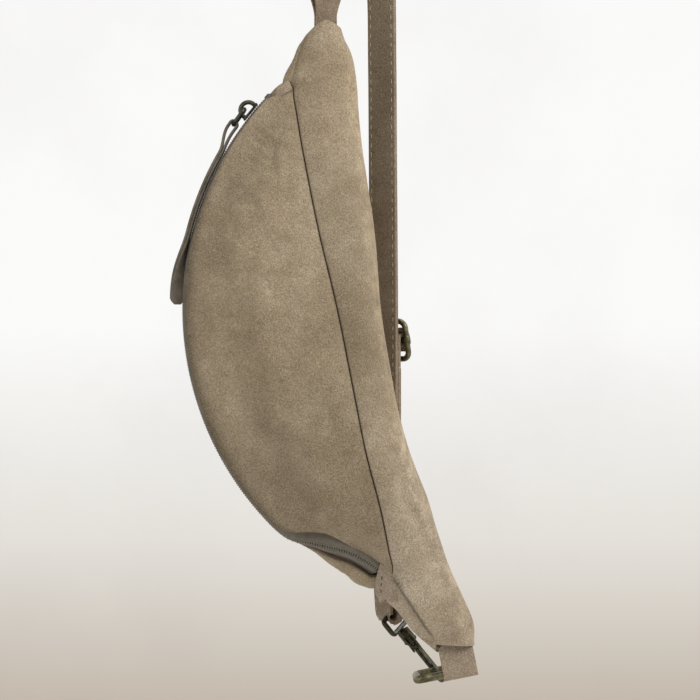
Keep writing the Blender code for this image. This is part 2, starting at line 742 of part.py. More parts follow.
def make_strap(collection, ring_bar, eye_bar):
    """The long strap: sewn loop on the upper ring, over the top, down, round the eye and up again."""
    up = Vector((0, 0, 1))
    back = Vector((0, 1, 0))
    radius = top_ring_wire / 2 + seam_gap + strap_thickness / 2
    path = fold_path(ring_bar + up * sewn_loop_length, -up, back, (strap_thickness + seam_gap) / 2,
                     sewn_loop_length, radius)
    angles = [0.0] * len(path)
    bend = strap_bend_radius + strap_thickness / 2
    leg = [path[-1], path[-1] + up * sewn_loop_length, Vector((0, -bend, -4 * bend)),
           Vector((0, -bend, -2 * bend))]
    for i in range(7):
        turn = math.pi * i / 6
        leg.append(Vector((0, -bend * math.cos(turn), strap_thickness / 2 + bend * (math.sin(turn) - 1))))
    leg += [Vector((x * bend, y * bend, -z * strap_drop)) for x, y, z in right_leg_shares]
    upper = spline_points(leg, 3)[1:]
    for p in upper:
        fall = -p.z / strap_drop
        on_right = p.y > 0
        share = smooth_step((fall - turn_shares[0]) / turn_shares[1]) if on_right else 0.0
        angles.append(strap_turn * share)
    path += upper
    column = path[-1]
    foot = column - up * straight_length
    path.append(column - up * strap_thickness)
    angles.append(strap_turn)
    path += [column.lerp(foot, i / 4) for i in range(1, 4)]
    angles += [strap_turn] * 3
    eye_radius = hook_eye_wire / 2 + seam_gap + strap_thickness / 2
    lean = eye_bar - foot
    arrive = Vector((lean.x, 0, lean.z)).normalized()
    side = Vector((arrive.z, 0, -arrive.x))
    goal = eye_bar + side * eye_radius
    path.append(foot)
    angles.append(strap_turn)
    low = [foot - up * strap_thickness]
    for down_share, in_share in lower_leg_shares:
        point = foot.lerp(goal, down_share)
        point.y = foot.y + (goal.y - foot.y) * in_share
        low.append(point)
    low.append(goal - arrive * eye_radius * 0.6)
    low_path = spline_points(low, 3)
    path += low_path
    last_turn = -math.pi / 2
    angles += [strap_turn + (last_turn - strap_turn) * i / (len(low_path) - 1) for i in range(len(low_path))]
    for i in range(9):
        turn = math.pi * i / 8
        path.append(eye_bar + arrive * eye_radius * math.sin(turn) + side * eye_radius * math.cos(turn))
        angles.append(last_turn)
    layer = behind_strap(strap_turn) * (strap_thickness + seam_gap)
    back_low = [eye_bar - side * eye_radius - arrive * eye_radius]
    for point in reversed(low[1:3]):
        back_low.append(point + layer * 1.25)
    back_low.append(foot + layer - up * 2 * strap_thickness)
    back_path = spline_points(back_low, 3) + [foot + layer - up * strap_thickness, foot + layer]
    path += back_path
    angles += [last_turn + (strap_turn - last_turn) * i / (len(back_path) - 1) for i in range(len(back_path))]
    ribbon("strap_long", path, [turned(a) for a in angles], strap_width, strap_thickness,
           "strap_suede", collection)
    return column, foot


def make_adjuster(collection, cutters, column, foot):
    """The adjuster's frame with its bar, the sewn end round the bar, and the strap's run over it."""
    wide = turned(strap_turn)
    aside = behind_strap(strap_turn)
    up = Vector((0, 0, 1))
    loop_radius = adjuster_wire / 2 + seam_gap + strap_thickness / 2
    layer = strap_thickness + seam_gap
    bar = column + aside * (layer + loop_radius) - up * adjuster_drop
    frame_height = adjuster_height - adjuster_wire
    frame_width = adjuster_inner_width + adjuster_wire
    frame = wire("adjuster_frame", stadium(bar, up, wide, frame_height, frame_width, 1.3 * adjuster_wire),
                 adjuster_wire, "antique_brass", collection, cyclic=True, origin=bar)
    rod = cylinder("adjuster_bar_tool", bar - wide * frame_width / 2, bar + wide * frame_width / 2,
                   adjuster_wire * 0.44, None, cutters, sides=10)
    boolean(frame, rod, "UNION", cutters)
    sewn = adjuster_height * 0.62
    path = [bar - aside * loop_radius - up * sewn * (1 - i / 3) for i in range(3)]
    for i in range(13):
        turn = math.radians(280) * i / 12
        path.append(bar - aside * loop_radius * math.cos(turn) + up * loop_radius * math.sin(turn))
    ribbon("strap_end_loop", path, wide, strap_width, strap_thickness, "strap_suede", collection, origin=bar)
    over = loop_radius + layer
    path = [bar - aside * (loop_radius + 0.1 * strap_thickness - strap_thickness * 0.5 - seam_gap) + up * over]
    for i in range(9):
        turn = math.radians(90 - 158 * i / 8)
        path.append(bar + aside * over * math.cos(turn) + up * over * math.sin(turn))
    ribbon("strap_bridge", path, wide, strap_width, strap_thickness, "strap_suede", collection, origin=bar)
    top = bar.z - sewn - seam_gap
    start = foot + aside * layer + up * seam_gap
    finish = Vector((start.x, start.y, top))
    ribbon("strap_return", [start.lerp(finish, i / 4) for i in range(5)], wide, strap_width,
           strap_thickness, "strap_suede", collection)
    return bar


# Snap hook

def make_hook(collection, cutters, eye_bar):
    """The snap hook: strap eye with its stem, body with barrel and bow, gate, pin and leaf spring."""
    down = along_axis * math.cos(hook_swing) - out_axis * math.sin(hook_swing)
    near = near_axis
    across = down.cross(near)

    def at(length, offset, sideways=0.0):
        return eye_bar + down * length + near * offset + across * sideways

    eye_run = hook_eye_inner_length + hook_eye_wire
    eye_width = hook_eye_inner_width + hook_eye_wire
    eye = wire("hook_eye", stadium(at(eye_run / 2, 0), down, near, eye_run, eye_width, 0.8 * hook_eye_wire),
               hook_eye_wire, "antique_brass", collection, cyclic=True, origin=eye_bar)
    barrel_top = eye_run + hook_eye_wire / 2 + hook_clearance
    barrel_end = barrel_top + barrel_length
    head_length = stem_radius
    stem = cylinder("hook_stem_tool", at(eye_run, 0), at(barrel_end + hook_clearance + head_length / 2, 0),
                    stem_radius, None, cutters, sides=12)
    head = cylinder("hook_head_tool", at(barrel_end + hook_clearance, 0),
                    at(barrel_end + hook_clearance + head_length, 0), 1.6 * stem_radius, None, cutters, sides=12)
    boolean(eye, stem, "UNION", cutters)
    boolean(eye, head, "UNION", cutters)
    arm = (hook_bow_inner + hook_wire) / 2
    bow_start = hook_length - hook_wire / 2 - arm
    nose = bow_start - 0.35 * arm
    points = [at(barrel_end - 0.35 * barrel_length, -0.75 * barrel_radius),
              at(barrel_end + 0.1 * barrel_length, -0.86 * arm), at(barrel_end + 0.45 * barrel_length, -arm)]
    points += [at(points_length, -arm) for points_length in (0.5 * (barrel_end + bow_start),)]
    for i in range(9):
        turn = math.pi * i / 8
        points.append(at(bow_start + arm * math.sin(turn), -arm * math.cos(turn)))
    points.append(at(nose, arm))
    body = wire("hook_body", points, hook_wire, "antique_brass", collection, origin=at(barrel_top, 0))
    barrel = cylinder("hook_barrel_tool", at(barrel_top, 0), at(barrel_end, 0), barrel_radius, None,
                      cutters, sides=16)
    boolean(body, barrel, "UNION", cutters)
    pivot = at(barrel_end + 0.35 * barrel_length, barrel_radius + 0.5 * gate_wire)
    knuckle = 0.58 * gate_wire
    ear_gap = knuckle + seam_gap
    ear = 0.4 * gate_wire
    for sign, name in ((1, "hook_ear_tool_one"), (-1, "hook_ear_tool_two")):
        start = at(barrel_end - 0.45 * barrel_length, 0.62 * barrel_radius, sign * (ear_gap + ear / 2))
        end = pivot + across * sign * (ear_gap + ear / 2)
        line = (end - start).normalized()
        plate_axes = (line, across, line.cross(across))
        plate = box(name, (start + end) / 2 + line * 0.3 * gate_wire, plate_axes,
                    ((end - start).length + 0.9 * gate_wire, ear, 1.25 * gate_wire), None, cutters)
        boolean(body, plate, "UNION", cutters)
    pin_radius = 0.24 * gate_wire
    bore = cylinder("hook_bore_tool", at(barrel_top - barrel_length, 0), at(barrel_end + 0.3 * barrel_length, 0),
                    stem_radius + hook_clearance, None, cutters, sides=12)
    boolean(body, bore, "DIFFERENCE", cutters)
    reach = ear_gap + ear
    hole = cylinder("hook_pin_hole_tool", pivot - across * 2 * reach, pivot + across * 2 * reach,
                    pin_radius + seam_gap, None, cutters, sides=10)
    boolean(body, hole, "DIFFERENCE", cutters)
    cylinder("hook_gate_pin", pivot - across * reach, pivot + across * reach, pin_radius,
             "antique_brass", collection, sides=10)
    tip = at(nose - hook_wire * 0.2 - seam_gap, arm - 0.1 * gate_wire)
    line = (tip - pivot).normalized()
    gate = wire("hook_gate", [pivot + line * knuckle * 0.8, pivot.lerp(tip, 0.5), tip - line * gate_wire * 0.2],
                gate_wire * 0.85, "antique_brass", collection, origin=pivot)
    hub = cylinder("hook_knuckle_tool", pivot - across * knuckle, pivot + across * knuckle,
                   0.56 * gate_wire, None, cutters, sides=12)
    boolean(gate, hub, "UNION", cutters)
    through = cylinder("hook_gate_hole_tool", pivot - across * 2 * reach, pivot + across * 2 * reach,
                       pin_radius + seam_gap, None, cutters, sides=10)
    boolean(gate, through, "DIFFERENCE", cutters)
    spring_length = 0.62 * barrel_length
    spring_axes = (down, near, across)
    box("hook_spring", at(barrel_end + 0.35 * barrel_length - 0.56 * gate_wire - seam_gap - spring_length / 2,
                          barrel_radius + 0.45 * gate_wire), spring_axes,
        (spring_length, 0.12 * gate_wire, knuckle), "antique_brass", collection)
    return pivot, down


def make_lining(collection):
    """The fabric lining: an open pouch a little inside the suede, with its mouth along the zip."""
    front, rear = panel_grid(1), panel_grid(-1)
    loops = []
    for i in range(panel_steps + 1):
        place_share = seam_start_share + (seam_end_share - seam_start_share) * i / panel_steps
        loops.append(front[i][:0:-1][1:] + band_section(place_share) + rear[i][1:-1])
    rows = []
    inset = suede_thickness + lining_clearance
    for i in range(lining_margin, panel_steps - lining_margin + 1, 2):
        loop = loops[i]
        middle = sum(loop, Vector()) / len(loop)
        row = []
        for j in range(0, len(loop), 2):
            run = loop[min(j + 1, len(loop) - 1)] - loop[max(j - 1, 0)]
            climb = loops[i + 1][j] - loops[i - 1][j]
            inward = run.cross(climb).normalized()
            if inward.dot(middle - loop[j]) < 0:
                inward = -inward
            row.append(loop[j] + inward * inset)
        rows.append(row)
    loft_sheet("lining", to_world(rows), lining_thickness, "lining", collection)


def make_all():
    clear_scene()
    parts = new_collection("belt_bag")
    cutters = new_collection("cutters")
    make_panels(parts)
    make_lining(parts)
    make_zip(parts)
    make_slider(parts)
    make_pull(parts)
    make_end_tabs(parts)
    upper_bar = make_tabs(parts)
    eye_bar = place(bag_length * eye_shares[0], bag_depth * eye_shares[1], -ring_inner_depth - ring_wire)
    column, foot = make_strap(parts, upper_bar, eye_bar)
    make_adjuster(parts, cutters, column, foot)
    make_hook(parts, cutters, eye_bar)


make_all()
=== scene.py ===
import bpy
import math
from mathutils import Matrix, Vector, noise

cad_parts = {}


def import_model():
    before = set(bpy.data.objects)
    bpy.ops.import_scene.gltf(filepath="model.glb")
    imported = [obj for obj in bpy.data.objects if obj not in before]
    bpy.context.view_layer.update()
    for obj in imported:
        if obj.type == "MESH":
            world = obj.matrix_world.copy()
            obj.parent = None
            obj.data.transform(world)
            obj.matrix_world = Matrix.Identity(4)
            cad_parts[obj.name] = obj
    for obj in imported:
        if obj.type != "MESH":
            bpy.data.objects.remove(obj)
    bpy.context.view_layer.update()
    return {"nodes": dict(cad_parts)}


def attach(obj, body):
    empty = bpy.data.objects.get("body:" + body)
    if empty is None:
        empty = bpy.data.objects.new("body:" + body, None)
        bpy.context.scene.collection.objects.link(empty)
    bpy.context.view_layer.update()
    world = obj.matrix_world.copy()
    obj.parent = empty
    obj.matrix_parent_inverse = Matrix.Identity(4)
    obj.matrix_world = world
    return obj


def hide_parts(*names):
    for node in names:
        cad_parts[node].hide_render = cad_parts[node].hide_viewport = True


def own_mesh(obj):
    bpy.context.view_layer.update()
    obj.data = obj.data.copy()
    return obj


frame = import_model()
nodes = frame["nodes"]
print("frame loaded,", len(nodes), "nodes")


# picking, finishing and dressing a piece

def pickNothing():
    if bpy.context.object and bpy.context.object.mode != "OBJECT":
        bpy.ops.object.mode_set(mode="OBJECT")
    bpy.ops.object.select_all(action="DESELECT")


def pick(*things):
    pickNothing()
    for thing in things:
        thing.select_set(True)
    bpy.context.view_layer.objects.active = things[0]


def named(name):
    thing = bpy.context.object
    thing.name = name
    thing.data.name = name
    return thing


def bake(thing):
    pick(thing)
    for step in list(thing.modifiers):
        bpy.ops.object.modifier_apply(modifier=step.name)


def settle(thing):
    pick(thing)
    bpy.ops.object.transform_apply(location=True, rotation=True, scale=True)


def tidyMesh(thing, gap=0.00001):
    pick(thing)
    bpy.ops.object.mode_set(mode="EDIT")
    bpy.ops.mesh.select_all(action="SELECT")
    bpy.ops.mesh.remove_doubles(threshold=gap)
    bpy.ops.mesh.normals_make_consistent(inside=False)
    bpy.ops.object.mode_set(mode="OBJECT")


def smooth(thing, angle=40):
    pick(thing)
    bpy.ops.object.shade_smooth_by_angle(angle=math.radians(angle))


def join(name, things):
    pick(*things)
    bpy.ops.object.join()
    return named(name)


def wear(thing, material):
    thing.data.materials.clear()
    thing.data.materials.append(material)


def dress(thing, material, body, slot, *stood):
    # its material, the body that carries it, its finish (not used), and the nodes that it stands for
    wear(thing, material)
    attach(thing, body)
    if stood:
        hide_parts(*stood)


def tone(r, g, b):
    return tuple(((c / 255 + 0.055) / 1.055) ** 2.4 if c > 10 else c / 255 / 12.92 for c in (r, g, b))


def ease(t):
    t = min(max(t, 0.0), 1.0)
    return t * t * (3 - 2 * t)


def rising(x, start, width):
    return ease((x - start) / width)


def falling(x, end, width):
    return ease((end - x) / width)


# the bag's own axes, the same as in the solids: along the tips, out to the zip, near to the camera

bagShape = {
    "length": 0.372, "depth": 0.1191, "thickness": 0.062, "lean": 11.3, "strapDrop": 0.2204, "tipSide": -0.0116,
    "zipRadius": 0.1784, "zipStart": -54.0, "zipBend": 33.0, "arcAlong": 0.4911, "zipHalf": 0.0054,
    "suede": 0.0014, "seamGap": 0.0003, "endTurn": 62.0, "seamStart": 0.095, "seamEnd": 0.869,
    "frontBulge": 0.11, "rearBulge": 0.12, "tailBulge": 0.115,
    "place": (0.0, 0.031, 0.064, 0.095, 0.146, 0.198, 0.319, 0.444,
              0.570, 0.670, 0.759, 0.826, 0.869, 0.890, 0.924, 0.962, 1.0),
    "crest": (-0.045, -0.053, -0.070, -0.066, -0.048, -0.034, -0.014, 0.029,
              0.043, 0.034, -0.010, -0.029, -0.043, -0.056, -0.083, -0.106, -0.094),
    "edge": (0.077, 0.154, 0.212, 0.243, 0.250, 0.255, 0.255, 0.241,
             0.241, 0.241, 0.226, 0.226, 0.236, 0.316, 0.250, 0.192, 0.100),
    "swell": (0.21, 0.28, 0.36, 0.46, 0.60, 0.72, 0.90, 1.0,
              1.0, 0.92, 0.78, 0.66, 0.56, 0.50, 0.43, 0.35, 0.27),
    "open": (0.0, 0.0, 0.0, 0.20, 0.46, 0.66, 0.90, 1.0,
             1.0, 0.92, 0.74, 0.56, 0.36, 0.0, 0.0, 0.0, 0.0),
    "zipTail": ((0.777, 0.690, 0.05), (0.795, 0.565, 0.10), (0.816, 0.424, 0.14), (0.834, 0.350, 0.14),
                (0.853, 0.292, 0.12)),
}
lean = math.radians(bagShape["lean"])
alongAxis = Vector((math.sin(lean), 0, -math.cos(lean)))
outAxis = Vector((-math.cos(lean), 0, -math.sin(lean)))
nearAxis = Vector((0, -1, 0))
upAxis = Vector((0, 0, 1))
tipPoint = Vector((bagShape["tipSide"], 0, -bagShape["strapDrop"]))
bagLong, bagDeep, bagThick = bagShape["length"], bagShape["depth"], bagShape["thickness"]
arcAlong = bagShape["arcAlong"] * bagLong
arcOut = bagDeep - bagShape["zipRadius"]
zipStart, zipBend = math.radians(bagShape["zipStart"]), math.radians(bagShape["zipBend"])


def place(along, out, near):
    return tipPoint + along * alongAxis + out * outAxis + near * nearAxis


def turnedWay(v):
    return v.x * alongAxis + v.y * outAxis + v.z * nearAxis


def curveAt(xs, ys, x):
    k = 0
    while k < len(xs) - 2 and x > xs[k + 1]:
        k += 1

    def slope(i):
        low, high = max(i - 1, 0), min(i + 1, len(xs) - 1)
        return (ys[high] - ys[low]) / (xs[high] - xs[low])

    wide = xs[k + 1] - xs[k]
    t = (x - xs[k]) / wide
    return ((2 * t**3 - 3 * t**2 + 1) * ys[k] + (t**3 - 2 * t**2 + t) * wide * slope(k)
            + (3 * t**2 - 2 * t**3) * ys[k + 1] + (t**3 - t**2) * wide * slope(k + 1))


def shareAt(name, share):
    return curveAt(bagShape["place"], bagShape[name], share)


def bezier(a, b, c, d, t):
    return (1 - t)**3 * a + 3 * t * (1 - t)**2 * b + 3 * t * t * (1 - t) * c + t**3 * d


def smoothLine(points, steps):
    xs = list(range(len(points)))
    line = []
    for i in range((len(points) - 1) * steps + 1):
        line.append(Vector([curveAt(xs, [p[n] for p in points], i / steps) for n in range(3)]))
    return line


def placesOn(points, wants):
    # for each wanted distance along the line: the step it falls in and the share of that step; then the whole length
    run = [0.0]
    for a, b in zip(points, points[1:]):
        run.append(run[-1] + (b - a).length)
    places, k = [], 0
    for want in wants(run[-1]):
        while k < len(points) - 2 and run[k + 1] < want:
            k += 1
        places.append((k, (want - run[k]) / max(run[k + 1] - run[k], 0.000001)))
    return places, run[-1]


def evenly(points, count, extras=None):
    # count points at even distances, the line's length, and extras (numbers or vectors) carried along with it
    places, length = placesOn(points, lambda whole: [whole * i / (count - 1) for i in range(count)])
    line = [points[k].lerp(points[k + 1], t) for k, t in places]
    carried = [extras[k] * (1 - t) + extras[k + 1] * t for k, t in places] if extras else []
    return line, length, carried


def heading(path, i):
    return (path[min(i + 1, len(path) - 1)] - path[max(i - 1, 0)]).normalized()


def crossAxes(path, wides, i):
    # across a strap and out of its face, at a point of its path
    ahead = heading(path, i)
    wide = wides[i] if isinstance(wides, list) else wides
    wide = (wide - ahead * wide.dot(ahead)).normalized()
    return wide, ahead.cross(wide).normalized()


def zipLine():
    points = []
    for i in range(61):
        angle = zipStart + (zipBend - zipStart) * i / 60
        points.append(Vector((arcAlong + bagShape["zipRadius"] * math.sin(angle),
                              arcOut + bagShape["zipRadius"] * math.cos(angle), 0)))
    tail = [points[-2], points[-1]]
    tail += [Vector((a * bagLong, o * bagDeep, n * bagThick)) for a, o, n in bagShape["zipTail"]]
    return points[:-1] + smoothLine(tail, 8)[8:]


zipPoints = zipLine()
arcRun = bagShape["zipRadius"] * (zipBend - zipStart)


def zipFrames(count):
    # even places on the zip: middle, direction, outward side, width and share done
    points, length = evenly(zipPoints, count)[:2]
    frames = []
    for i, point in enumerate(points):
        ahead = heading(points, i)
        flat = Vector((-ahead.y, ahead.x, 0)).normalized()
        near = ahead.cross(flat)
        travelled = length * i / (count - 1)
        turn = math.radians(bagShape["endTurn"]) * ease((travelled - arcRun) / (0.55 * (length - arcRun)))
        normal = flat * math.cos(turn) + near * math.sin(turn)
        wide = near * math.cos(turn) - flat * math.sin(turn)
        frames.append((point, ahead, normal, wide, travelled / length))
    return frames


# materials

def nodeMaterial(name):
    material = bpy.data.materials.new(name)
    material.use_nodes = True
    tree = material.node_tree
    return material, tree, tree.nodes["Principled BSDF"]


def feed(tree, node, values):
    # another node's output is linked to the input, a plain value is set on it
    for key, value in values.items():
        if isinstance(value, bpy.types.NodeSocket):
            tree.links.new(value, node.inputs[key])
        else:
            node.inputs[key].default_value = value


def add(tree, kind, inputs=None, **settings):
    node = tree.nodes.new(kind)
    for key, value in settings.items():
        setattr(node, key, value)
    feed(tree, node, inputs or {})
    return node


def objectCoords(tree):
    return add(tree, "ShaderNodeTexCoord").outputs["Object"]


def noiseAt(tree, coords, scale, detail, rough=0.5):
    inputs = {"Vector": coords, "Scale": scale, "Detail": detail, "Roughness": rough}
    return add(tree, "ShaderNodeTexNoise", inputs).outputs["Fac"]


def stripesAt(tree, coords, scale, distortion=0.0):
    inputs = {"Vector": coords, "Scale": scale, "Distortion": distortion}
    return add(tree, "ShaderNodeTexWave", inputs, wave_type="BANDS", bands_direction="DIAGONAL").outputs["Fac"]


def ramp(tree, fac, stops):
    # stops are places with a colour, or with one number for a grey
    node = add(tree, "ShaderNodeValToRGB", {"Fac": fac})
    band = node.color_ramp
    while len(band.elements) < len(stops):
        band.elements.new(0.5)
    for element, (position, colour) in zip(band.elements, stops):
        element.position = position
        element.color = (*colour, 1) if isinstance(colour, tuple) else (colour, colour, colour, 1)
    return node.outputs["Color"]


def multiplied(tree, share, a, b):
    node = add(tree, "ShaderNodeMix", data_type="RGBA", blend_type="MULTIPLY")
    feed(tree, node, {0: share, 6: a, 7: b})
    return node.outputs[2]


def bumps(tree, *layers):
    # each layer is a height with its strength and distance, laid over the one before
    rise = None
    for height, (strength, distance) in layers:
        node = add(tree, "ShaderNodeBump", {"Height": height, "Strength": strength, "Distance": distance})
        if rise is not None:
            tree.links.new(rise, node.inputs["Normal"])
        rise = node.outputs["Normal"]
    return rise


def between(a, b, share):
    return tuple((1 - share) * x + share * y for x, y in zip(a, b))


def over(a, b):
    return tuple(x / y for x, y in zip(a, b))


suedeLook = {
    "bag": {"dark": (132, 116, 94), "base": (157, 141, 117), "light": (180, 165, 142), "sheen": 0.22},
    "strap": {"dark": (123, 109, 91), "base": (144, 129, 109), "light": (166, 152, 133), "sheen": 0.16},
    "tab": {"dark": (140, 124, 106), "base": (160, 144, 125), "light": (180, 164, 146), "sheen": 0.20},
    # the upper tab's entry is the tab's suede painted darker, for the shade that the top tab hangs in
    "upper": {"dark": (112, 97, 82), "base": (131, 115, 98), "light": (150, 135, 117), "sheen": 0.16},
    "patch": (24.0, 3.0, 0.55), "cloud": (90.0, 3.0, 0.6), "napAndPaintedLight": (1050.0, 3.0, 0.65), "grain": (2300.0, 2.0, 0.6),
    "napTones": ((0.34, (0.74, 0.73, 0.72)), (0.5, 1), (0.68, (1.30, 1.29, 1.27))),
    "grainTones": ((0.34, (0.70, 0.69, 0.68)), (0.5, 1), (0.68, (1.42, 1.40, 1.37))), "grainShare": 0.9,
    "cloudRise": (0.25, 0.0012), "napRise": (0.45, 0.0006), "grainRise": (0.55, 0.00025),
    "rough": 0.94, "shine": 0.12, "sheenRough": 0.55,
}


def makeSuede(name, look, mapped=False):
    # napped suede: brushed patches, soft clouds, short nap and a fine light grain
    material, tree, shader = nodeMaterial(name)
    where = objectCoords(tree)
    dark, base, light = (tone(*look[k]) for k in ("dark", "base", "light"))
    patches, clouds, napAndPaintedLight, grain = (noiseAt(tree, where, *suedeLook[k]) for k in ("patch", "cloud", "napAndPaintedLight", "grain"))
    colour = ramp(tree, patches, ((0.30, between(dark, base, 0.5)), (0.50, base), (0.72, between(base, light, 0.45))))
    white = (1, 1, 1)
    soft = ramp(tree, clouds, ((0.25, between(white, over(dark, base), 0.35)), (0.50, 1),
                               (0.75, between(white, over(light, base), 0.4))))
    colour = multiplied(tree, 1.0, colour, soft)
    colour = multiplied(tree, 1.0, colour, ramp(tree, napAndPaintedLight, suedeLook["napTones"]))
    colour = multiplied(tree, suedeLook["grainShare"], colour, ramp(tree, grain, suedeLook["grainTones"]))
    # the bag's sheets add their point colours: painted highlight and painted shade, and a tone made lighter or darker
    # along the bag
    if mapped:
        toneAndPaintedLightMap = add(tree, "ShaderNodeAttribute", attribute_name="napAndPaintedLight")
        colour = multiplied(tree, 1.0, colour, toneAndPaintedLightMap.outputs["Color"])
    rise = bumps(tree, (clouds, suedeLook["cloudRise"]), (napAndPaintedLight, suedeLook["napRise"]), (grain, suedeLook["grainRise"]))
    feed(tree, shader, {"Base Color": colour, "Roughness": suedeLook["rough"], "Specular IOR Level": suedeLook["shine"],
                        "Sheen Weight": look["sheen"], "Sheen Roughness": suedeLook["sheenRough"],
                        "Sheen Tint": (*light, 1), "Normal": rise})
    return material


bagSuede = makeSuede("bagSuede", suedeLook["bag"], mapped=True)
strapSuede = makeSuede("strapSuede", suedeLook["strap"])
tabSuede = makeSuede("tabSuede", suedeLook["tab"])
# the top tab's suede: the tab's suede painted darker for shade
shadedTopTabSuede = makeSuede("shadedTopTabSuede", suedeLook["upper"])
leatherLook = {
    "dark": (94, 85, 73), "light": (126, 116, 102),
    "pebbles": 1300.0, "worn": (120.0, 4.0, 0.6), "fine": (1260.0, 3.0, 0.6),
    "flecks": ((0.30, 0.72), (0.55, 1), (0.75, (1.25, 1.23, 1.2))), "fleckShare": 0.8,
    "rough": ((0.2, 0.78), (0.8, 0.6)), "shine": 0.3, "pebbleRise": (0.3, 0.0002), "fineRise": (0.4, 0.0002),
}


def makeLeather(name):
    # smooth dark leather with a pebbled grain, paler where it is rubbed
    look = leatherLook
    material, tree, shader = nodeMaterial(name)
    where = objectCoords(tree)
    pebbles = add(tree, "ShaderNodeTexVoronoi", {"Vector": where, "Scale": look["pebbles"]}, feature="F1")
    worn, fine = noiseAt(tree, where, *look["worn"]), noiseAt(tree, where, *look["fine"])
    colour = ramp(tree, worn, ((0.30, tone(*look["dark"])), (0.70, tone(*look["light"]))))
    colour = multiplied(tree, look["fleckShare"], colour, ramp(tree, fine, look["flecks"]))
    rise = bumps(tree, (pebbles.outputs["Distance"], look["pebbleRise"]), (fine, look["fineRise"]))
    feed(tree, shader, {"Base Color": colour, "Roughness": ramp(tree, worn, look["rough"]),
                        "Specular IOR Level": look["shine"], "Normal": rise})
    return material


pullLeather = makeLeather("pullLeather")
metalLook = {
    # the second brass is the antique brass painted darker, for the shade that the hook, its swivel eye, gate, pin and
    # spring hang in
    "antiqueBrass": ((66, 63, 49), (152, 145, 108), 0.34), "shadedBrass": ((36, 35, 28), (92, 88, 68), 0.38),
    "zipMetal": ((42, 43, 38), (98, 98, 84), 0.34), "stains": (240.0, 4.0, 0.65), "fine": (1680.0, 3.0, 0.6),
    "duller": 0.16, "brighter": 0.06, "stainRise": (0.15, 0.0003), "fineRise": (0.12, 0.0001),
}


def makeMetal(name):
    # old plated metal: darker and rubbed-bright blotches, and a little scratched
    look = metalLook
    dark, worn, rough = look[name]
    dark, worn = tone(*dark), tone(*worn)
    material, tree, shader = nodeMaterial(name)
    where = objectCoords(tree)
    stains, fine = noiseAt(tree, where, *look["stains"]), noiseAt(tree, where, *look["fine"])
    colour = ramp(tree, stains, ((0.32, dark), (0.58, between(dark, worn, 0.5)), (0.78, worn)))
    gloss = ramp(tree, fine, ((0.25, rough + look["duller"]), (0.75, rough - look["brighter"])))
    rise = bumps(tree, (stains, look["stainRise"]), (fine, look["fineRise"]))
    feed(tree, shader, {"Base Color": colour, "Metallic": 1.0, "Roughness": gloss, "Normal": rise})
    return material


antiqueBrass, shadedBrass, zipMetal = (makeMetal(name) for name in ("antiqueBrass", "shadedBrass", "zipMetal"))
tapeLook = {
    "zipTape": ((106, 98, 86), (128, 119, 105)), "liningCotton": ((146, 134, 116), (160, 148, 130)),
    "twill": (900.0, 1.5), "dye": (160.0, 3.0), "lines": ((0.2, 0.80), (0.8, 1.08)), "lineShare": 0.8,
    "rough": 0.88, "sheen": 0.15, "rise": (0.4, 0.0002),
}


def makeTape(name):
    # woven zip tape: a fine twill across the piece with a soft uneven dye
    look = tapeLook
    dark, light = look[name]
    material, tree, shader = nodeMaterial(name)
    where = objectCoords(tree)
    threads = stripesAt(tree, where, *look["twill"])
    base = ramp(tree, noiseAt(tree, where, *look["dye"]), ((0.3, tone(*dark)), (0.7, tone(*light))))
    colour = multiplied(tree, look["lineShare"], base, ramp(tree, threads, look["lines"]))
    feed(tree, shader, {"Base Color": colour, "Roughness": look["rough"], "Sheen Weight": look["sheen"],
                        "Normal": bumps(tree, (threads, look["rise"]))})
    return material


zipTape, liningCotton = makeTape("zipTape"), makeTape("liningCotton")
teethLook = {
    "dark": (88, 82, 69), "light": (124, 116, 100), "uneven": (900.0, 3.0, 0.6), "rough": 0.42, "rise": (0.2, 0.0001),
}


def makeTeeth(name):
    # moulded teeth in the tape's colour, a little glossier than the tape
    look = teethLook
    material, tree, shader = nodeMaterial(name)
    uneven = noiseAt(tree, objectCoords(tree), *look["uneven"])
    colour = ramp(tree, uneven, ((0.3, tone(*look["dark"])), (0.7, tone(*look["light"]))))
    rise = bumps(tree, (uneven, look["rise"]))
    feed(tree, shader, {"Base Color": colour, "Roughness": look["rough"], "Normal": rise})
    return material


zipTeeth = makeTeeth("zipTeeth")
threadLook = {
    "paleThread": (205, 190, 160), "darkThread": (84, 72, 58), "shade": 0.8, "twist": 1600.0, "rough": 0.6,
    "rise": (0.4, 0.0001),
}


def makeThread(name):
    # waxed thread with its twist
    look = threadLook
    material, tree, shader = nodeMaterial(name)
    twist = stripesAt(tree, objectCoords(tree), look["twist"])
    dark = [int(c * look["shade"]) for c in look[name]]
    colour = ramp(tree, twist, ((0.1, tone(*dark)), (0.7, tone(*look[name]))))
    rise = bumps(tree, (twist, look["rise"]))
    feed(tree, shader, {"Base Color": colour, "Roughness": look["rough"], "Normal": rise})
    return material


paleThread, darkThread = makeThread("paleThread"), makeThread("darkThread")
print("materials made")


# sheets, bands and wires

settleLook = {
    # how the sewn sheets fill out between their seams
    "frames": 20, "quality": 5, "mass": 0.3, "stretch": 22.0, "shear": 8.0, "bend": 1.6, "slack": -0.010,
    "filling": 0.9, "most": 0.0032, "held": 10, "eased": 8, "firstRows": 4, "lastRows": 12,
}


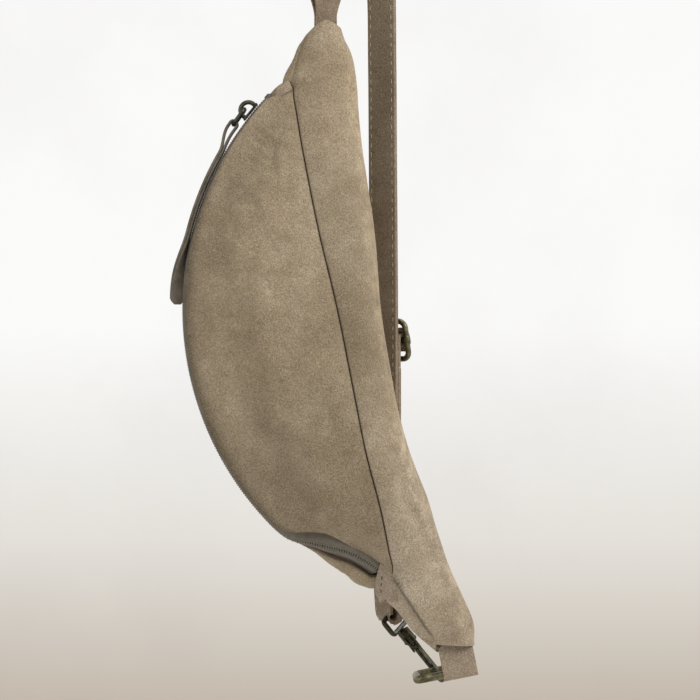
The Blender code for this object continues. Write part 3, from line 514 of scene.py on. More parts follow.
def slacken(thing, held):
    # the sheet settles under a light filling while its sewn edges are held, and keeps that shape
    look = settleLook
    before = [v.co.copy() for v in thing.data.vertices]
    sewn = thing.vertex_groups.new(name="sewn")
    for index, weight in enumerate(held):
        sewn.add([index], weight, "REPLACE")
    step = thing.modifiers.new("settle", "CLOTH")
    cloth = step.settings
    cloth.quality = look["quality"]
    cloth.mass = look["mass"]
    cloth.tension_stiffness = cloth.compression_stiffness = look["stretch"]
    cloth.shear_stiffness = look["shear"]
    cloth.bending_stiffness = look["bend"]
    cloth.shrink_min = look["slack"]
    cloth.use_pressure = True
    cloth.uniform_pressure_force = look["filling"]
    cloth.vertex_group_mass = "sewn"
    cloth.effector_weights.gravity = 0.0
    step.collision_settings.use_collision = False
    step.collision_settings.use_self_collision = False
    for number in range(1, look["frames"] + 1):
        bpy.context.scene.frame_set(number)
    bake(thing)
    bpy.context.scene.frame_set(1)
    most = 0.0
    for v, first in zip(thing.data.vertices, before):
        move = v.co - first
        most = max(most, move.length)
        if move.length > look["most"]:
            v.co = first + move * (look["most"] / move.length)
    thing.vertex_groups.clear()
    print(thing.name, "settled, furthest move", round(most * 1000, 2), "mm")


def bevel(thing, width, segments=3, angle=30):
    step = thing.modifiers.new("edge", "BEVEL")
    step.width = width
    step.segments = segments
    step.limit_method = "ANGLE"
    step.angle_limit = math.radians(angle)


def sheetPiece(name, rows, wall, flip=False, rim=0.0, offset=-1.0, tonesAndPaintedLight=None, holds=None):
    # a grid laid over the rows of points, then given its wall and a rounded rim
    # the point colours paint highlight and shade onto the suede and make it lighter or darker point by point, and holds
    # say how firmly each point stays while the sheet settles
    tall, wide = len(rows), len(rows[0])
    pickNothing()
    bpy.ops.mesh.primitive_grid_add(x_subdivisions=wide - 1, y_subdivisions=tall - 1, size=2)
    thing = named(name)
    held = []
    if tonesAndPaintedLight:
        toneAndPaintedLightMap = thing.data.color_attributes.new("napAndPaintedLight", "FLOAT_COLOR", "POINT")
    for v in thing.data.vertices:
        j = round((v.co.x + 1) / 2 * (wide - 1))
        i = round((v.co.y + 1) / 2 * (tall - 1))
        v.co = rows[i][j]
        if tonesAndPaintedLight:
            toneAndPaintedLightMap.data[v.index].color = tonesAndPaintedLight[i][j]
        if holds:
            held.append(holds[i][j])
    if flip:
        thing.data.flip_normals()
    if holds:
        slacken(thing, held)
    step = thing.modifiers.new("wall", "SOLIDIFY")
    step.thickness = wall
    step.offset = offset
    step.use_even_offset = True
    if rim:
        bevel(thing, rim, angle=55)
    bake(thing)
    return thing


rodLook = {"round": 7, "straight": 24, "turned": 32, "corner": 8, "dome": (12, 32, 52, 72, 90)}


def wirePiece(name, points, radius, closed=False, ends=None):
    # a round rod along a line; ends gives the radius share at each point
    pickNothing()
    bpy.ops.curve.primitive_nurbs_path_add()
    rod = bpy.context.object
    rod.data.splines.clear()
    line = rod.data.splines.new("POLY")
    line.points.add(len(points) - 1)
    for k, (spot, p) in enumerate(zip(line.points, points)):
        spot.co = (*p, 1)
        spot.radius = ends[k] if ends else 1.0
    line.use_cyclic_u = closed
    rod.data.dimensions = "3D"
    rod.data.bevel_depth = radius
    rod.data.bevel_resolution = rodLook["round"]
    rod.data.use_fill_caps = True
    bpy.ops.object.convert(target="MESH")
    thing = named(name)
    tidyMesh(thing, radius * 0.001)
    smooth(thing, 45)
    return thing


def domed(points, radius):
    # adds the points and radius shares of two round ends to an open line
    first = (points[0] - points[1]).normalized()
    last = (points[-1] - points[-2]).normalized()
    turns = [math.radians(a) for a in rodLook["dome"]]
    head = [points[0] + first * radius * (math.cos(t) - 1) for t in turns]
    foot = [points[-1] + last * radius * (math.cos(t) - 1) for t in reversed(turns)]
    inner = [p for p in points[1:-1]
             if (p - points[0]).length > radius * 1.1 and (p - points[-1]).length > radius * 1.1]
    shares = [math.sin(t) for t in turns] + [1.0] * len(inner) + [math.sin(t) for t in reversed(turns)]
    return head + inner + foot, shares


def barPiece(name, points, radius):
    line, shares = domed(points, radius)
    return wirePiece(name, line, radius, ends=shares)


def roundedLoop(centre, longAxis, wideAxis, length, width, corner):
    steps = rodLook["corner"]
    points = []
    for side, (sx, sy) in enumerate(((1, 1), (-1, 1), (-1, -1), (1, -1))):
        for i in range(steps + 1):
            turn = math.radians(90) * (side + i / steps)
            points.append(centre + longAxis * (sx * (length / 2 - corner) + corner * math.cos(turn))
                          + wideAxis * (sy * (width / 2 - corner) + corner * math.sin(turn)))
    return points


def copyTo(name, first, spots):
    # one finished shape copied to each place, every copy with its own mesh
    copies = []
    for spot in spots:
        twin = first.copy()
        twin.data = first.data.copy()
        bpy.context.scene.collection.objects.link(twin)
        twin.data.transform(spot)
        copies.append(twin)
    bpy.data.objects.remove(first)
    return join(name, copies)


def standing(point, ahead, out, wide):
    # a placing matrix: x along ahead, y along wide, z along out
    return Matrix.Translation(point) @ Matrix((ahead, wide, out)).transposed().to_4x4()


stitchLook = {"length": 0.0031, "radius": 0.00030, "pitch": 0.0054}


def stitchShape(length, radius):
    pickNothing()
    bpy.ops.mesh.primitive_uv_sphere_add(segments=8, ring_count=6, radius=1)
    thing = named("stitch")
    thing.scale = (length / 2, radius * 1.15, radius)
    settle(thing)
    smooth(thing, 80)
    return thing


def stitchRow(name, line, ups, pitch=None, length=None, radius=None):
    # stitches lie along the line, half sunk in the surface that ups stands on
    pitch, length, radius = (value or stitchLook[key] for value, key in
                             ((pitch, "pitch"), (length, "length"), (radius, "radius")))
    spots = []
    for k, t in placesOn(line, lambda whole: [(i + 0.5) * pitch for i in range(int(whole / pitch))])[0]:
        ahead = (line[k + 1] - line[k]).normalized()
        up = ups[k].lerp(ups[min(k + 1, len(ups) - 1)], t)
        up = (up - ahead * up.dot(ahead)).normalized()
        spots.append(standing(line[k].lerp(line[k + 1], t), ahead, up, up.cross(ahead)))
    return copyTo(name, stitchShape(length, radius), spots)


# camera, light and room

room = {
    "distance": 1.60, "view": 0.406, "centre": (0.0, 0.0, -0.4118), "sensor": 36,
    "key": {"at": (1.05, -0.75, 0.35), "size": 0.8, "power": 15.0},
    "fill": {"at": (-1.3, -1.2, 0.1), "size": 1.4, "power": 6.4},
    "top": {"at": (0.1, -0.2, 0.95), "size": 1.0, "power": 6.0},
    "back": {"at": (0.9, 1.5, 0.4), "size": 1.2, "power": 7.0},
    "ambient": 0.31, "ambientTone": (1.0, 0.99, 0.97, 1), "seenTone": (0.90, 0.89, 0.87, 1),
    "floor": (0.86, 0.85, 0.83), "floorGrain": (6.0, 4.0, 0.6), "floorGlow": 0.30, "wallGlow": 0.93, "rough": 0.9,
    "wallClouds": (1.35, 5.0, 0.55), "wallLow": -1.05, "wallHigh": -0.15,
    "wallShade": ((0.0, (0.55, 0.48, 0.40)), (0.33, (0.80, 0.77, 0.72)), (0.75, (1.0, 1.0, 0.99))),
    "wallTones": ((0.30, (0.93, 0.92, 0.93)), (0.50, 0.99), (0.70, 1.0)),
}


def seen(tree):
    # one where the camera or a glossy surface looks, nought where only light falls
    path = add(tree, "ShaderNodeLightPath")
    return add(tree, "ShaderNodeMath", {0: path.outputs["Is Camera Ray"], 1: path.outputs["Is Glossy Ray"]},
               operation="MAXIMUM").outputs[0]


def blendShaders(tree, share, a, b, end):
    blend = add(tree, "ShaderNodeMixShader", {0: share, 1: a, 2: b})
    tree.links.new(blend.outputs[0], tree.nodes[end].inputs["Surface"])


def makeRoom():
    pickNothing()
    bpy.ops.object.camera_add(location=(room["centre"][0], -room["distance"], room["centre"][2]),
                              rotation=(math.radians(90), 0, 0))
    camera = bpy.context.object
    camera.data.sensor_width = room["sensor"]
    camera.data.lens = room["sensor"] * room["distance"] / room["view"]
    bpy.context.scene.camera = camera
    for name in ("key", "fill", "top", "back"):
        look = room[name]
        bpy.ops.object.light_add(type="AREA", location=look["at"])
        lamp = bpy.context.object
        lamp.name = name + "Light"
        lamp.data.shape = "DISK"
        lamp.data.size = look["size"]
        lamp.data.energy = look["power"]
        aim = Vector(room["centre"]) - Vector(look["at"])
        lamp.rotation_euler = aim.to_track_quat("-Z", "Y").to_euler()
    world = bpy.data.worlds.new("paleRoom")
    bpy.context.scene.world = world
    world.use_nodes = True
    tree = world.node_tree
    shade = tree.nodes["Background"]
    feed(tree, shade, {"Color": room["ambientTone"], "Strength": room["ambient"]})
    pale = add(tree, "ShaderNodeBackground", {"Color": room["seenTone"], "Strength": 1.0})
    blendShaders(tree, seen(tree), shade.outputs[0], pale.outputs[0], "World Output")
    bpy.context.scene.view_settings.view_transform = "Standard"


def makeWall():
    # the pale plaster wall behind and the floor under the bag
    material, tree, shader = nodeMaterial("palePlaster")
    where = objectCoords(tree)
    clouds = noiseAt(tree, where, *room["wallClouds"])
    parts = add(tree, "ShaderNodeSeparateXYZ", {0: where})
    height = add(tree, "ShaderNodeMapRange", {"Value": parts.outputs["Z"], "From Min": room["wallLow"],
                                              "From Max": room["wallHigh"]})
    shade = ramp(tree, height.outputs[0], room["wallShade"])
    colour = multiplied(tree, 1.0, ramp(tree, clouds, room["wallTones"]), shade)
    feed(tree, shader, {"Base Color": colour, "Roughness": room["rough"]})
    glow = add(tree, "ShaderNodeEmission", {"Color": colour})
    some = add(tree, "ShaderNodeMath", {0: seen(tree), 1: room["wallGlow"]}, operation="MULTIPLY")
    blendShaders(tree, some.outputs[0], shader.outputs[0], glow.outputs[0], "Material Output")
    boards, tree, shader = nodeMaterial("paleBoards")
    low, high = (tuple(c * k for c in room["floor"]) for k in (0.95, 1.0))
    colour = ramp(tree, noiseAt(tree, objectCoords(tree), *room["floorGrain"]), ((0.3, low), (0.7, high)))
    feed(tree, shader, {"Base Color": colour, "Roughness": room["rough"], "Emission Color": (*high, 1.0),
                        "Emission Strength": room["floorGlow"]})
    for name, at, turn, look in (("wall", (0, 3.2, 0), 90, material), ("floor", (0, 0, -1.5), 0, boards)):
        pickNothing()
        bpy.ops.mesh.primitive_plane_add(size=8, location=at, rotation=(math.radians(turn), 0, 0))
        board = named(name)
        settle(board)
        wear(board, look)


makeRoom()
makeWall()
print("camera, light and wall placed")


# the bag's suede

panelLook = {
    "rows": 170, "columns": 44, "across": 160, "tips": 24, "wave": 0.0011, "bandWave": 0.8,
    "plump": 0.0017, "crisp": 0.0011, "hem": 0.0008, "tuck": 0.0024, "clear": 0.0002,
    "hemDrop": 0.0002, "hemRun": 0.018, "hemSide": 0.0004, "arch": (0.0062, 0.0034), "archRun": 0.055,
    "farLip": 0.0075, "lipStart": (0.015, 0.07), "lipEnd": (0.0965, 0.016), "farLipEnd": (0.160, 0.05),
    "tipLip": 0.0046, "tipLipStart": (-0.012, 0.022), "tipLipEnd": (0.056, 0.036),
    "flatter": 0.8, "flatterStart": (0.015, 0.05), "flatterEnd": (0.135, 0.05),
    "nearHem": 0.0040, "nearHemStart": (0.89, 0.06), "farHem": 0.0030, "farHemStart": (0.82, 0.03),
    "farHemEnd": (0.93, 0.06), "tailStart": (0.78, 0.12), "nearTailEnd": (1.04, 0.10), "farTailEnd": (1.06, 0.10),
    "foldFrom": (0.869, 0.230), "foldTo": (0.9714, 0.100), "foldAbove": 0.84, "foldStart": (0.850, 0.03),
    "foldEnd": (0.992, 0.02), "foldRise": 0.0032, "foldEdge": 0.0010, "foldSlope": 0.013,
    "tipRise": 0.0052, "tipRiseStart": (0.93, 0.07),
    "full": 1.30, "fullLess": 0.26, "flank": 0.98, "flankLess": 0.22, "shoulder": 0.32,
    "firstAt": 0.33, "secondAt": 0.72, "secondBulge": 0.9, "roundness": 0.6,
    "farTail": (0.8, 1.75), "nearTail": 0.25, "tailBack": 0.03,
}


def edgePoint(share, side):
    look = panelLook
    out = shareAt("edge", share) * bagDeep
    lipEnd = look["farLipEnd" if side < 0 else "lipEnd"]
    out += look["farLip"] * rising(share, *look["lipStart"]) * falling(share, *lipEnd)
    out += look["tipLip"] * rising(share, *look["tipLipStart"]) * falling(share, *look["tipLipEnd"])
    near = max(shareAt("open", share), 0) * bagThick / 2 + bagShape["seamGap"] / 2
    if side < 0:
        near *= 1 - look["flatter"] * rising(share, *look["flatterStart"]) * falling(share, *look["flatterEnd"])
    return Vector((share * bagLong, out, side * near))


def bandSection(share, across):
    look = panelLook
    crest = shareAt("crest", share) * bagDeep
    swell = shareAt("swell", share) * bagThick / 2
    half = across // 2
    points = []
    for side in (1, -1):
        edge = edgePoint(share, side)
        opening = min(max(shareAt("open", share), 0) * bagThick / 2 / swell, 1.0)
        fullness = look["full"] - look["fullLess"] * opening
        deep = edge.y - crest
        shoulder = Vector((edge.x, edge.y - look["shoulder"] * deep, side * max(abs(edge.z), swell * fullness)))
        flank = Vector((edge.x, crest, side * swell * (look["flank"] - look["flankLess"] * opening)))
        top = Vector((edge.x, crest, 0))
        line = [bezier(edge, shoulder, flank, top, i / half) for i in range(half + 1)]
        points += line if side > 0 else line[:-1][::-1]
    return points


def panelRows(side, tall, wide):
    look = panelLook
    rows = []
    for i, (point, ahead, normal, across, done) in enumerate(zipFrames(tall)):
        share = bagShape["seamStart"] + (bagShape["seamEnd"] - bagShape["seamStart"]) * i / (tall - 1)
        seam = edgePoint(share, side)
        closer = look["nearHem"] * rising(done, *look["nearHemStart"])
        if side < 0:
            closer = look["farHem"] * rising(done, *look["farHemStart"]) * falling(done, *look["farHemEnd"])
        edge = point + across * side * (bagShape["zipHalf"] + bagShape["suede"] + 1.5 * bagShape["seamGap"] - closer)
        belly = math.sin(math.pi * min(max(done, 0.02), 0.98))**look["roundness"]
        bulge = Vector((0, 0, side)) * bagThick * bagShape["frontBulge" if side > 0 else "rearBulge"] * belly
        tailEnd = look["nearTailEnd" if side > 0 else "farTailEnd"]
        tail = rising(done, *look["tailStart"]) * falling(done, *tailEnd)
        first = seam.lerp(edge, look["firstAt"]) + bulge
        second = seam.lerp(edge, look["secondAt"]) + bulge * look["secondBulge"]
        flat = Vector((-ahead.y, ahead.x, 0)).normalized()
        if side < 0:
            first += flat * bagDeep * bagShape["tailBulge"] * tail * look["farTail"][0]
            second += flat * bagDeep * bagShape["tailBulge"] * tail * look["farTail"][1]
            second += Vector((0, 0, -1)) * bagThick * look["tailBack"] * tail
        else:
            second -= normal * bagDeep * bagShape["tailBulge"] * tail * look["nearTail"]
        rows.append([bezier(seam, first, second, edge, j / (wide - 1)) for j in range(wide)])
    return rows


waveLook = {"edge": 0.16, "stretch": 0.55, "shift": (1, 0.7, 1.3), "coarse": 34, "fine": 85, "fineShare": 0.45}


def waved(rows, amount, seed):
    # soft hollows and swells of hanging suede, fading out towards every edge
    look = waveLook
    tall, wide = len(rows), len(rows[0])
    shift = Vector([seed * c for c in look["shift"]])
    result = []
    for i, row in enumerate(rows):
        new = []
        for j, p in enumerate(row):
            fade = 1.0
            for where in (i / (tall - 1), 1 - i / (tall - 1), j / (wide - 1), 1 - j / (wide - 1)):
                fade *= ease(where / look["edge"])
            at = Vector((p.x * look["stretch"], p.y, p.z)) + shift
            lift = noise.noise(at * look["coarse"]) + look["fineShare"] * noise.noise(at * look["fine"])
            new.append(p + outwards(rows, i, j, 1) * lift * amount * fade)
        result.append(new)
    return result


creases = {
    # places along and out in shares of the bag, then width and height in millimetres
    "frontSuede": (
        ([(0.135, 0.33), (0.19, 0.52), (0.256, 0.716), (0.34, 0.82)], 7.0, -1.7),
        ([(0.187, 0.315), (0.235, 0.46), (0.295, 0.606), (0.38, 0.66)], 8.0, 1.0),
        ([(0.46, 0.80), (0.60, 0.72), (0.70, 0.62)], 9.0, -1.1),
        ([(0.55, 0.52), (0.68, 0.46), (0.78, 0.42)], 9.0, 0.8),
        ([(0.74, 0.52), (0.80, 0.40), (0.84, 0.30)], 5.0, -0.8),
    ),
    "backSuede": (
        ([(0.14, -0.02), (0.20, 0.00), (0.25, 0.035)], 2.6, -1.3),
        ([(0.020, 0.130), (0.040, 0.170), (0.064, 0.210), (0.092, 0.240)], 1.1, -0.9),
        ([(0.25, -0.005), (0.29, 0.03), (0.33, 0.02)], 2.4, -1.2),
        ([(0.36, 0.00), (0.43, 0.035), (0.50, 0.06)], 3.0, -0.9),
        ([(0.10, 0.03), (0.22, 0.07), (0.40, 0.10), (0.55, 0.12)], 6.0, -0.8),
        ([(0.640, 0.070), (0.700, 0.060), (0.745, 0.062), (0.790, 0.020), (0.850, -0.020), (0.900, -0.050)],
         2.6, 1.9),
        ([(0.700, 0.090), (0.760, 0.100), (0.800, 0.060), (0.870, 0.010)], 4.0, -1.2),
        ([(0.650, 0.022), (0.720, 0.015), (0.790, -0.022)], 3.0, -1.1),
        ([(0.930, 0.030), (0.955, -0.020), (0.985, -0.050)], 4.0, 1.0),
    ),
}


def creased(rows, marks, sign):
    # presses each soft line in or out of the near side of the sheet
    lines = []
    for points, width, height in marks:
        line = flatLine(points, 6)
        lines.append((line, width / 1000, height / 1000, min(p.x for p in line), max(p.x for p in line)))
    result = []
    for i, row in enumerate(rows):
        new = []
        for j, p in enumerate(row):
            lift = 0.0
            for line, width, height, low, high in lines:
                if p.z < 0.001 or not low - 3 * width < p.x < high + 3 * width:
                    continue
                best = min(range(len(line)), key=lambda k: (line[k].x - p.x)**2 + (line[k].y - p.y)**2)
                off = math.hypot(line[best].x - p.x, line[best].y - p.y)
                fade = ease(min(best, len(line) - 1 - best) / (0.3 * len(line)))
                lift += height * (0.25 + 0.75 * fade) * math.exp(-(off / width)**2) * ease(p.z / 0.006)
            edge = ease(min(j, len(row) - 1 - j) / 4)
            new.append(p + outwards(rows, i, j, sign) * lift * edge if lift else p)
        result.append(new)
    return result


def trimmed(row, first, last):
    # the row without its first and last stretches, at as many even points
    steps = len(row) - 1
    places, _ = placesOn(row, lambda whole: [first + (whole - first - last) * i / steps for i in range(steps + 1)])
    return [row[k].lerp(row[k + 1], t) for k, t in places]


def flatLine(points, steps):
    # a smooth line through places given in shares of the bag, along and out
    return smoothLine([Vector((a * bagLong, o * bagDeep, 0)) for a, o in points], steps)


def outwards(rows, i, j, sign):
    # the sheet's outward side at a point of its grid
    tall, wide = len(rows), len(rows[0])
    run = rows[i][min(j + 1, wide - 1)] - rows[i][max(j - 1, 0)]
    climb = rows[min(i + 1, tall - 1)][j] - rows[max(i - 1, 0)][j]
    return run.cross(climb).normalized() * sign


def evened(vectors):
    for _ in range(3):
        vectors = [(vectors[max(i - 1, 0)] + v * 2 + vectors[min(i + 1, len(vectors) - 1)]).normalized()
                   for i, v in enumerate(vectors)]
    return vectors


def turnedIn(rows, start, inwards, radii, tuck, clear):
    # each row's end bends into the bag on a small round and then runs straight down inside
    result = []
    for row, inward, radius in zip(rows, inwards, radii):
        edge, before = (row[0], row[1]) if start else (row[-1], row[-2])
        ahead = (edge - before).normalized()
        half = min(ahead.angle(inward) / 2, math.radians(72))
        reach = radius * math.tan(half)
        new = trimmed(row, reach if start else 0, 0 if start else reach)
        side = (inward * ahead.dot(inward) - ahead).normalized() * clear
        first = new[0] if start else new[-1]
        last = edge + inward * reach + side
        corner = edge + side
        extra = [(1 - t)**2 * first + 2 * t * (1 - t) * corner + t * t * last for t in (0.2, 0.4, 0.6, 0.8, 1.0)]
        extra += [last + inward * tuck * 0.5, last + inward * tuck]
        result.append(extra[::-1] + new if start else new + extra)
    return result


def world(rows):
    return [[place(*p) for p in row] for row in rows]


def loweredHem(rows, side):
    # the suede beside the zip lies a little deeper than the tops of the teeth
    frames = zipFrames(len(rows))
    result = []
    for row, (_, _, normal, across, _) in zip(rows, frames):
        new = []
        for p in row:
            near = ease(1 - (p - row[-1]).length / panelLook["hemRun"])
            new.append(p - normal * panelLook["hemDrop"] * near + across * side * panelLook["hemSide"] * near)
        result.append(new)
    return result


def foldOut(share):
    # how far out the folded edge of the lower tip lies
    (fromAlong, fromOut), (toAlong, toOut) = panelLook["foldFrom"], panelLook["foldTo"]
    step = (share - fromAlong) / (toAlong - fromAlong)
    return (fromOut + (toOut - fromOut) * step) * bagDeep


def foldedTip(rows, shares):
    # below the zip the band's near layer folds over the flap that closes the bag, and its hem hangs higher
    look = panelLook
    result = []
    for i, (row, share) in enumerate(zip(rows, shares)):
        if share < look["foldAbove"]:
            result.append(row)
            continue
        fold = foldOut(share)
        some = rising(share, *look["foldStart"]) * falling(share, *look["foldEnd"])
        crest = min(p.y for p in row)
        width = max(row[0].y - crest, 0.001)
        new = []
        for j, p in enumerate(row):
            inside = fold - p.y
            lift = (look["foldRise"] * some * ease(inside / look["foldEdge"])
                    * math.exp(-max(inside, 0) / look["foldSlope"]))
            rise = look["tipRise"] * rising(share, *look["tipRiseStart"]) * ((p.y - crest) / width)
            if p.z <= 0:
                lift = rise = 0.0
            new.append(p + outwards(rows, i, j, 1) * lift - Vector((rise * ease(p.z / 0.002), 0, 0)))
        result.append(new)
    return result


def archedMouth(rows, shares):
    # the upper mouth is cut to an arch over the tab
    right, left = panelLook["arch"]
    result = []
    for row, share in zip(rows, shares):
        fade = falling(share, panelLook["archRun"], panelLook["archRun"])
        crest = min(p.y for p in row)
        deep = max(p.y for p in row) - crest
        new = []
        for p in row:
            across = 2 * (p.y - crest) / deep
            drop = right * max(1 - across, 0)**1.6 + left * max(across - 1, 0)**1.6
            new.append(p + Vector((drop * fade, 0, 0)))
        result.append(new)
    return result


toneAndPaintedLightLook = {
    # how much lighter or darker the suede is made along the bag, then painted highlight for the crest and ridge and
    # painted shade for the seams and fold lines
    "backSuede": ((0.0, 0.97), (0.10, 0.97), (0.25, 0.84), (0.45, 0.80), (0.60, 0.87), (0.72, 1.07), (0.85, 1.15),
                  (1.0, 1.28)),
    "frontSuede": ((0.0, 0.91), (0.20, 0.95), (0.32, 1.04), (0.50, 1.03), (0.66, 0.92), (0.80, 0.90), (1.0, 0.95)),
    "rearSuede": ((0.0, 1.0), (1.0, 1.0)),
    "spots": (130, 190, 150), "soft": (38, 46, 30), "softer": 0.035,
    "folds": (-0.10, 0.05), "foldWide": 0.009, "crest": 0.30, "mottle": 0.50, "crestWide": 0.0062,
    "lowMottle": 0.55, "lowWide": 0.011, "ridge": 0.26, "ridgeWide": 0.0020, "closing": 0.35, "closingWide": 0.0006,
    "fold": 0.55, "foldLine": (0.0004, 0.0009), "tint": (-0.01, 0.012, 0.085),
    "seam": (0.45, 0.45, 0.46, 0.50, 0.62, 0.78, 0.92), "hem": (0.5, 0.5, 0.55, 0.62, 0.74, 0.86, 0.95),
}


def bell(off, width):
    return math.exp(-(off / width)**2)


def offLine(p, line):
    return min(math.hypot(q.x - p.x, q.y - p.y) for q in line)


def toneAndPaintedLight(name, rows, endShades):
    # painted highlight on the crest and ridges, painted shade down in the seams and along the closing and fold lines,
    # and soft painted folds on the front
    look = toneAndPaintedLightLook
    stops = look[name]
    ridge = flatLine(creases["backSuede"][5][0], 6)
    folds = [flatLine(creases["frontSuede"][k][0], 4) for k in (0, 1)]
    count = len(rows[0])
    result = []
    for row in rows:
        values = []
        for j, p in enumerate(row):
            share = min(max(p.x / bagLong, 0.0), 1.0)
            value = curveAt([s for s, _ in stops], [v for _, v in stops], share)
            if name == "backSuede":
                at = Vector([c * s for c, s in zip(p, look["spots"])])
                spot = 0.6 * noise.noise(at) + 0.5 * noise.noise(at * 2.7)
                # painted highlight along the crest, broken into mottles, and painted mottles of light and shade lower
                # down beside it
                off = p.y - shareAt("crest", share) * bagDeep
                crestHighlight = bell(off, look["crestWide"]) * rising(share, 0.04, 0.06) * falling(share, 0.74, 0.12)
                value += crestHighlight * (look["crest"] + look["mottle"] * spot)
                value += look["lowMottle"] * spot * rising(share, 0.60, 0.12) * bell(off, look["lowWide"])
                # painted highlight along the raised ridge
                if p.z > 0 and 0.62 < share < 0.93:
                    value += look["ridge"] * bell(offLine(p, ridge), look["ridgeWide"])
                # painted shade along the line of the closing seam
                if p.z > 0 and 0.02 < share < 0.096:
                    value *= 1 - look["closing"] * bell(p.y - shareAt("edge", share) * bagDeep, look["closingWide"])
                # painted shadow along the fold line of the lower tip
                if p.z > 0 and share > 0.85:
                    some = rising(share, 0.855, 0.02) * falling(share, 0.985, 0.02)
                    inside, wide = look["foldLine"]
                    value *= 1 - look["fold"] * some * bell(foldOut(share) - p.y + inside, wide)
            else:
                value += look["softer"] * noise.noise(Vector([c * s for c, s in zip(p, look["soft"])]))
                # painted shade and painted highlight along the front's two soft folds
                if name == "frontSuede" and share < 0.45:
                    for line, change in zip(folds, look["folds"]):
                        value += change * bell(offLine(p, line), look["foldWide"])
            # painted shade down in the turned-in seams and hems
            for shades, away in zip(endShades, (j, count - 1 - j)):
                if away < len(look[shades]):
                    value *= look[shades][away]
            grey = rising(share, 0.55, 0.3) if name == "backSuede" else 0.0
            values.append([value * (1 + change * grey) for change in look["tint"]] + [1])
        result.append(values)
    return result


def heldEdges(rows):
    # how firmly each point is held while the sheet settles: fully at its seams and end rows
    tall, wide = len(rows), len(rows[0])
    fixed, eased = settleLook["held"], settleLook["eased"]
    holds = []
    for i in range(tall):
        ends = min(i - settleLook["firstRows"], tall - 1 - settleLook["lastRows"] - i)
        holds.append([1 - ease(min(ends, min(j, wide - 1 - j) - fixed) / eased) for j in range(wide)])
    return holds


flapLook = {
    # places along and out in shares of the bag, and near in millimetres
    "outer": ((0.8440, 0.2740, 9.4), (0.8560, 0.2960, 8.3), (0.8720, 0.3150, 5.6), (0.8860, 0.3250, 2.9),
              (0.8960, 0.3200, 1.4)),
    "inner": ((0.8440, 0.1900, 11.2), (0.8560, 0.2000, 11.0), (0.8720, 0.2080, 10.6), (0.8900, 0.2180, 9.0),
              (0.9080, 0.2300, 6.6)),
    "rows": 26, "steps": 17, "swell": 0.0009, "wall": 0.0011, "rim": 0.0003, "sewnAt": 4, "sewn": (8, 24),
    "proud": 0.0012, "stitch": {"pitch": 0.0044, "length": 0.0026, "radius": 0.00042},
}


def makeClosingFlap():
    # the tongue of suede that covers the zip's lower end, sewn down by hand
    look = flapLook
    sides = []
    for side in (look["outer"], look["inner"]):
        points = [Vector((a * bagLong, o * bagDeep, n / 1000)) for a, o, n in side]
        sides.append(evenly(smoothLine(points, 8), look["rows"])[0])
    shares = [j / look["steps"] for j in range(look["steps"] + 1)]
    swells = [Vector((0, 0, look["swell"] * math.sin(math.pi * t))) for t in shares]
    rows = [[a.lerp(b, t) + swell for t, swell in zip(shares, swells)] for a, b in zip(*sides)]
    flap = sheetPiece("closingFlap", world(rows), look["wall"], rim=look["rim"])
    smooth(flap, 60)
    dress(flap, tabSuede, "bag", "suede")
    first, last = look["sewn"]
    line = [place(*row[look["sewnAt"]]) + nearAxis * look["proud"] for row in rows[first:last]]
    stitches = stitchRow("flapStitches", line, [nearAxis] * len(line), **look["stitch"])
    dress(stitches, darkThread, "bag", "suede")


def makeBag():
    look = panelLook
    tall, wide = look["rows"], look["columns"]
    wall = bagShape["suede"] * 0.72
    start, end = bagShape["seamStart"], bagShape["seamEnd"]
    tips = look["tips"]
    shares = [start * i / tips for i in range(tips)]
    shares += [start + (end - start) * i / (tall - 1) for i in range(tall)]
    shares += [end + (1 - end) * i / tips for i in range(1, tips + 1)]
    band = archedMouth(foldedTip([bandSection(s, look["across"]) for s in shares], shares), shares)
    band = creased(waved(band, -look["wave"] * look["bandWave"], 4.2), creases["backSuede"], 1)
    panels = []
    for name, side, amount, seed in (("frontSuede", 1, look["wave"], 0.31), ("rearSuede", -1, -look["wave"], 1.7)):
        panel = waved(loweredHem(panelRows(side, tall, wide), side), amount, seed)
        panels.append(creased(panel, creases[name], -side) if name in creases else panel)
    seams = []
    for side, panel in ((1, panels[0]), (-1, panels[1])):
        j = 0 if side > 0 else len(band[0]) - 1
        ways = []
        for i in range(len(band)):
            own = outwards(band, i, j, 1)
            if tips <= i < tips + tall:
                other = outwards(panel, i - tips, 0, -side)
            else:
                other = outwards(band, i, len(band[0]) - 1 - j, 1)
            ways.append(-(own + other).normalized())
        seams.append(evened(ways))
    plump = [look["plump"] * ease((i + 6) / 20) * ease((tall + 5 - i) / 20) for i in range(tall)]
    for (name, side, flip), panel, ways in zip((("frontSuede", 1, False), ("rearSuede", -1, True)), panels, seams):
        hems = evened([-outwards(panel, i, wide - 2, -side) for i in range(tall)])
        panel = turnedIn(panel, False, hems, [look["hem"]] * tall, look["tuck"], 0)
        panel = turnedIn(panel, True, ways[tips:tips + tall], plump, look["tuck"], look["clear"])
        if side < 0:
            panel += [[p + Vector((0.0003, -0.0016, 0.0004)) * k for p in panel[-1]] for k in range(1, 7)]
        sheet = sheetPiece(name, world(panel), wall, flip=flip, tonesAndPaintedLight=toneAndPaintedLight(name, panel, ("seam", "hem")),
                           holds=heldEdges(panel))
        smooth(sheet, 60)
        dress(sheet, bagSuede, "bag", "suede", "front_panel" if side > 0 else "rear_panel")
    band = turnedIn(band, True, seams[0], [look["crisp"]] * len(band), look["tuck"], look["clear"])
    band = turnedIn(band, False, seams[1], [look["crisp"]] * len(band), look["tuck"], look["clear"])
    back = sheetPiece("backSuede", world(band), wall, flip=True, tonesAndPaintedLight=toneAndPaintedLight("backSuede", band, ("seam", "seam")))
    smooth(back, 60)
    dress(back, bagSuede, "bag", "suede", "back_panel")


# straps and tabs: two layers of suede sewn together along both edges

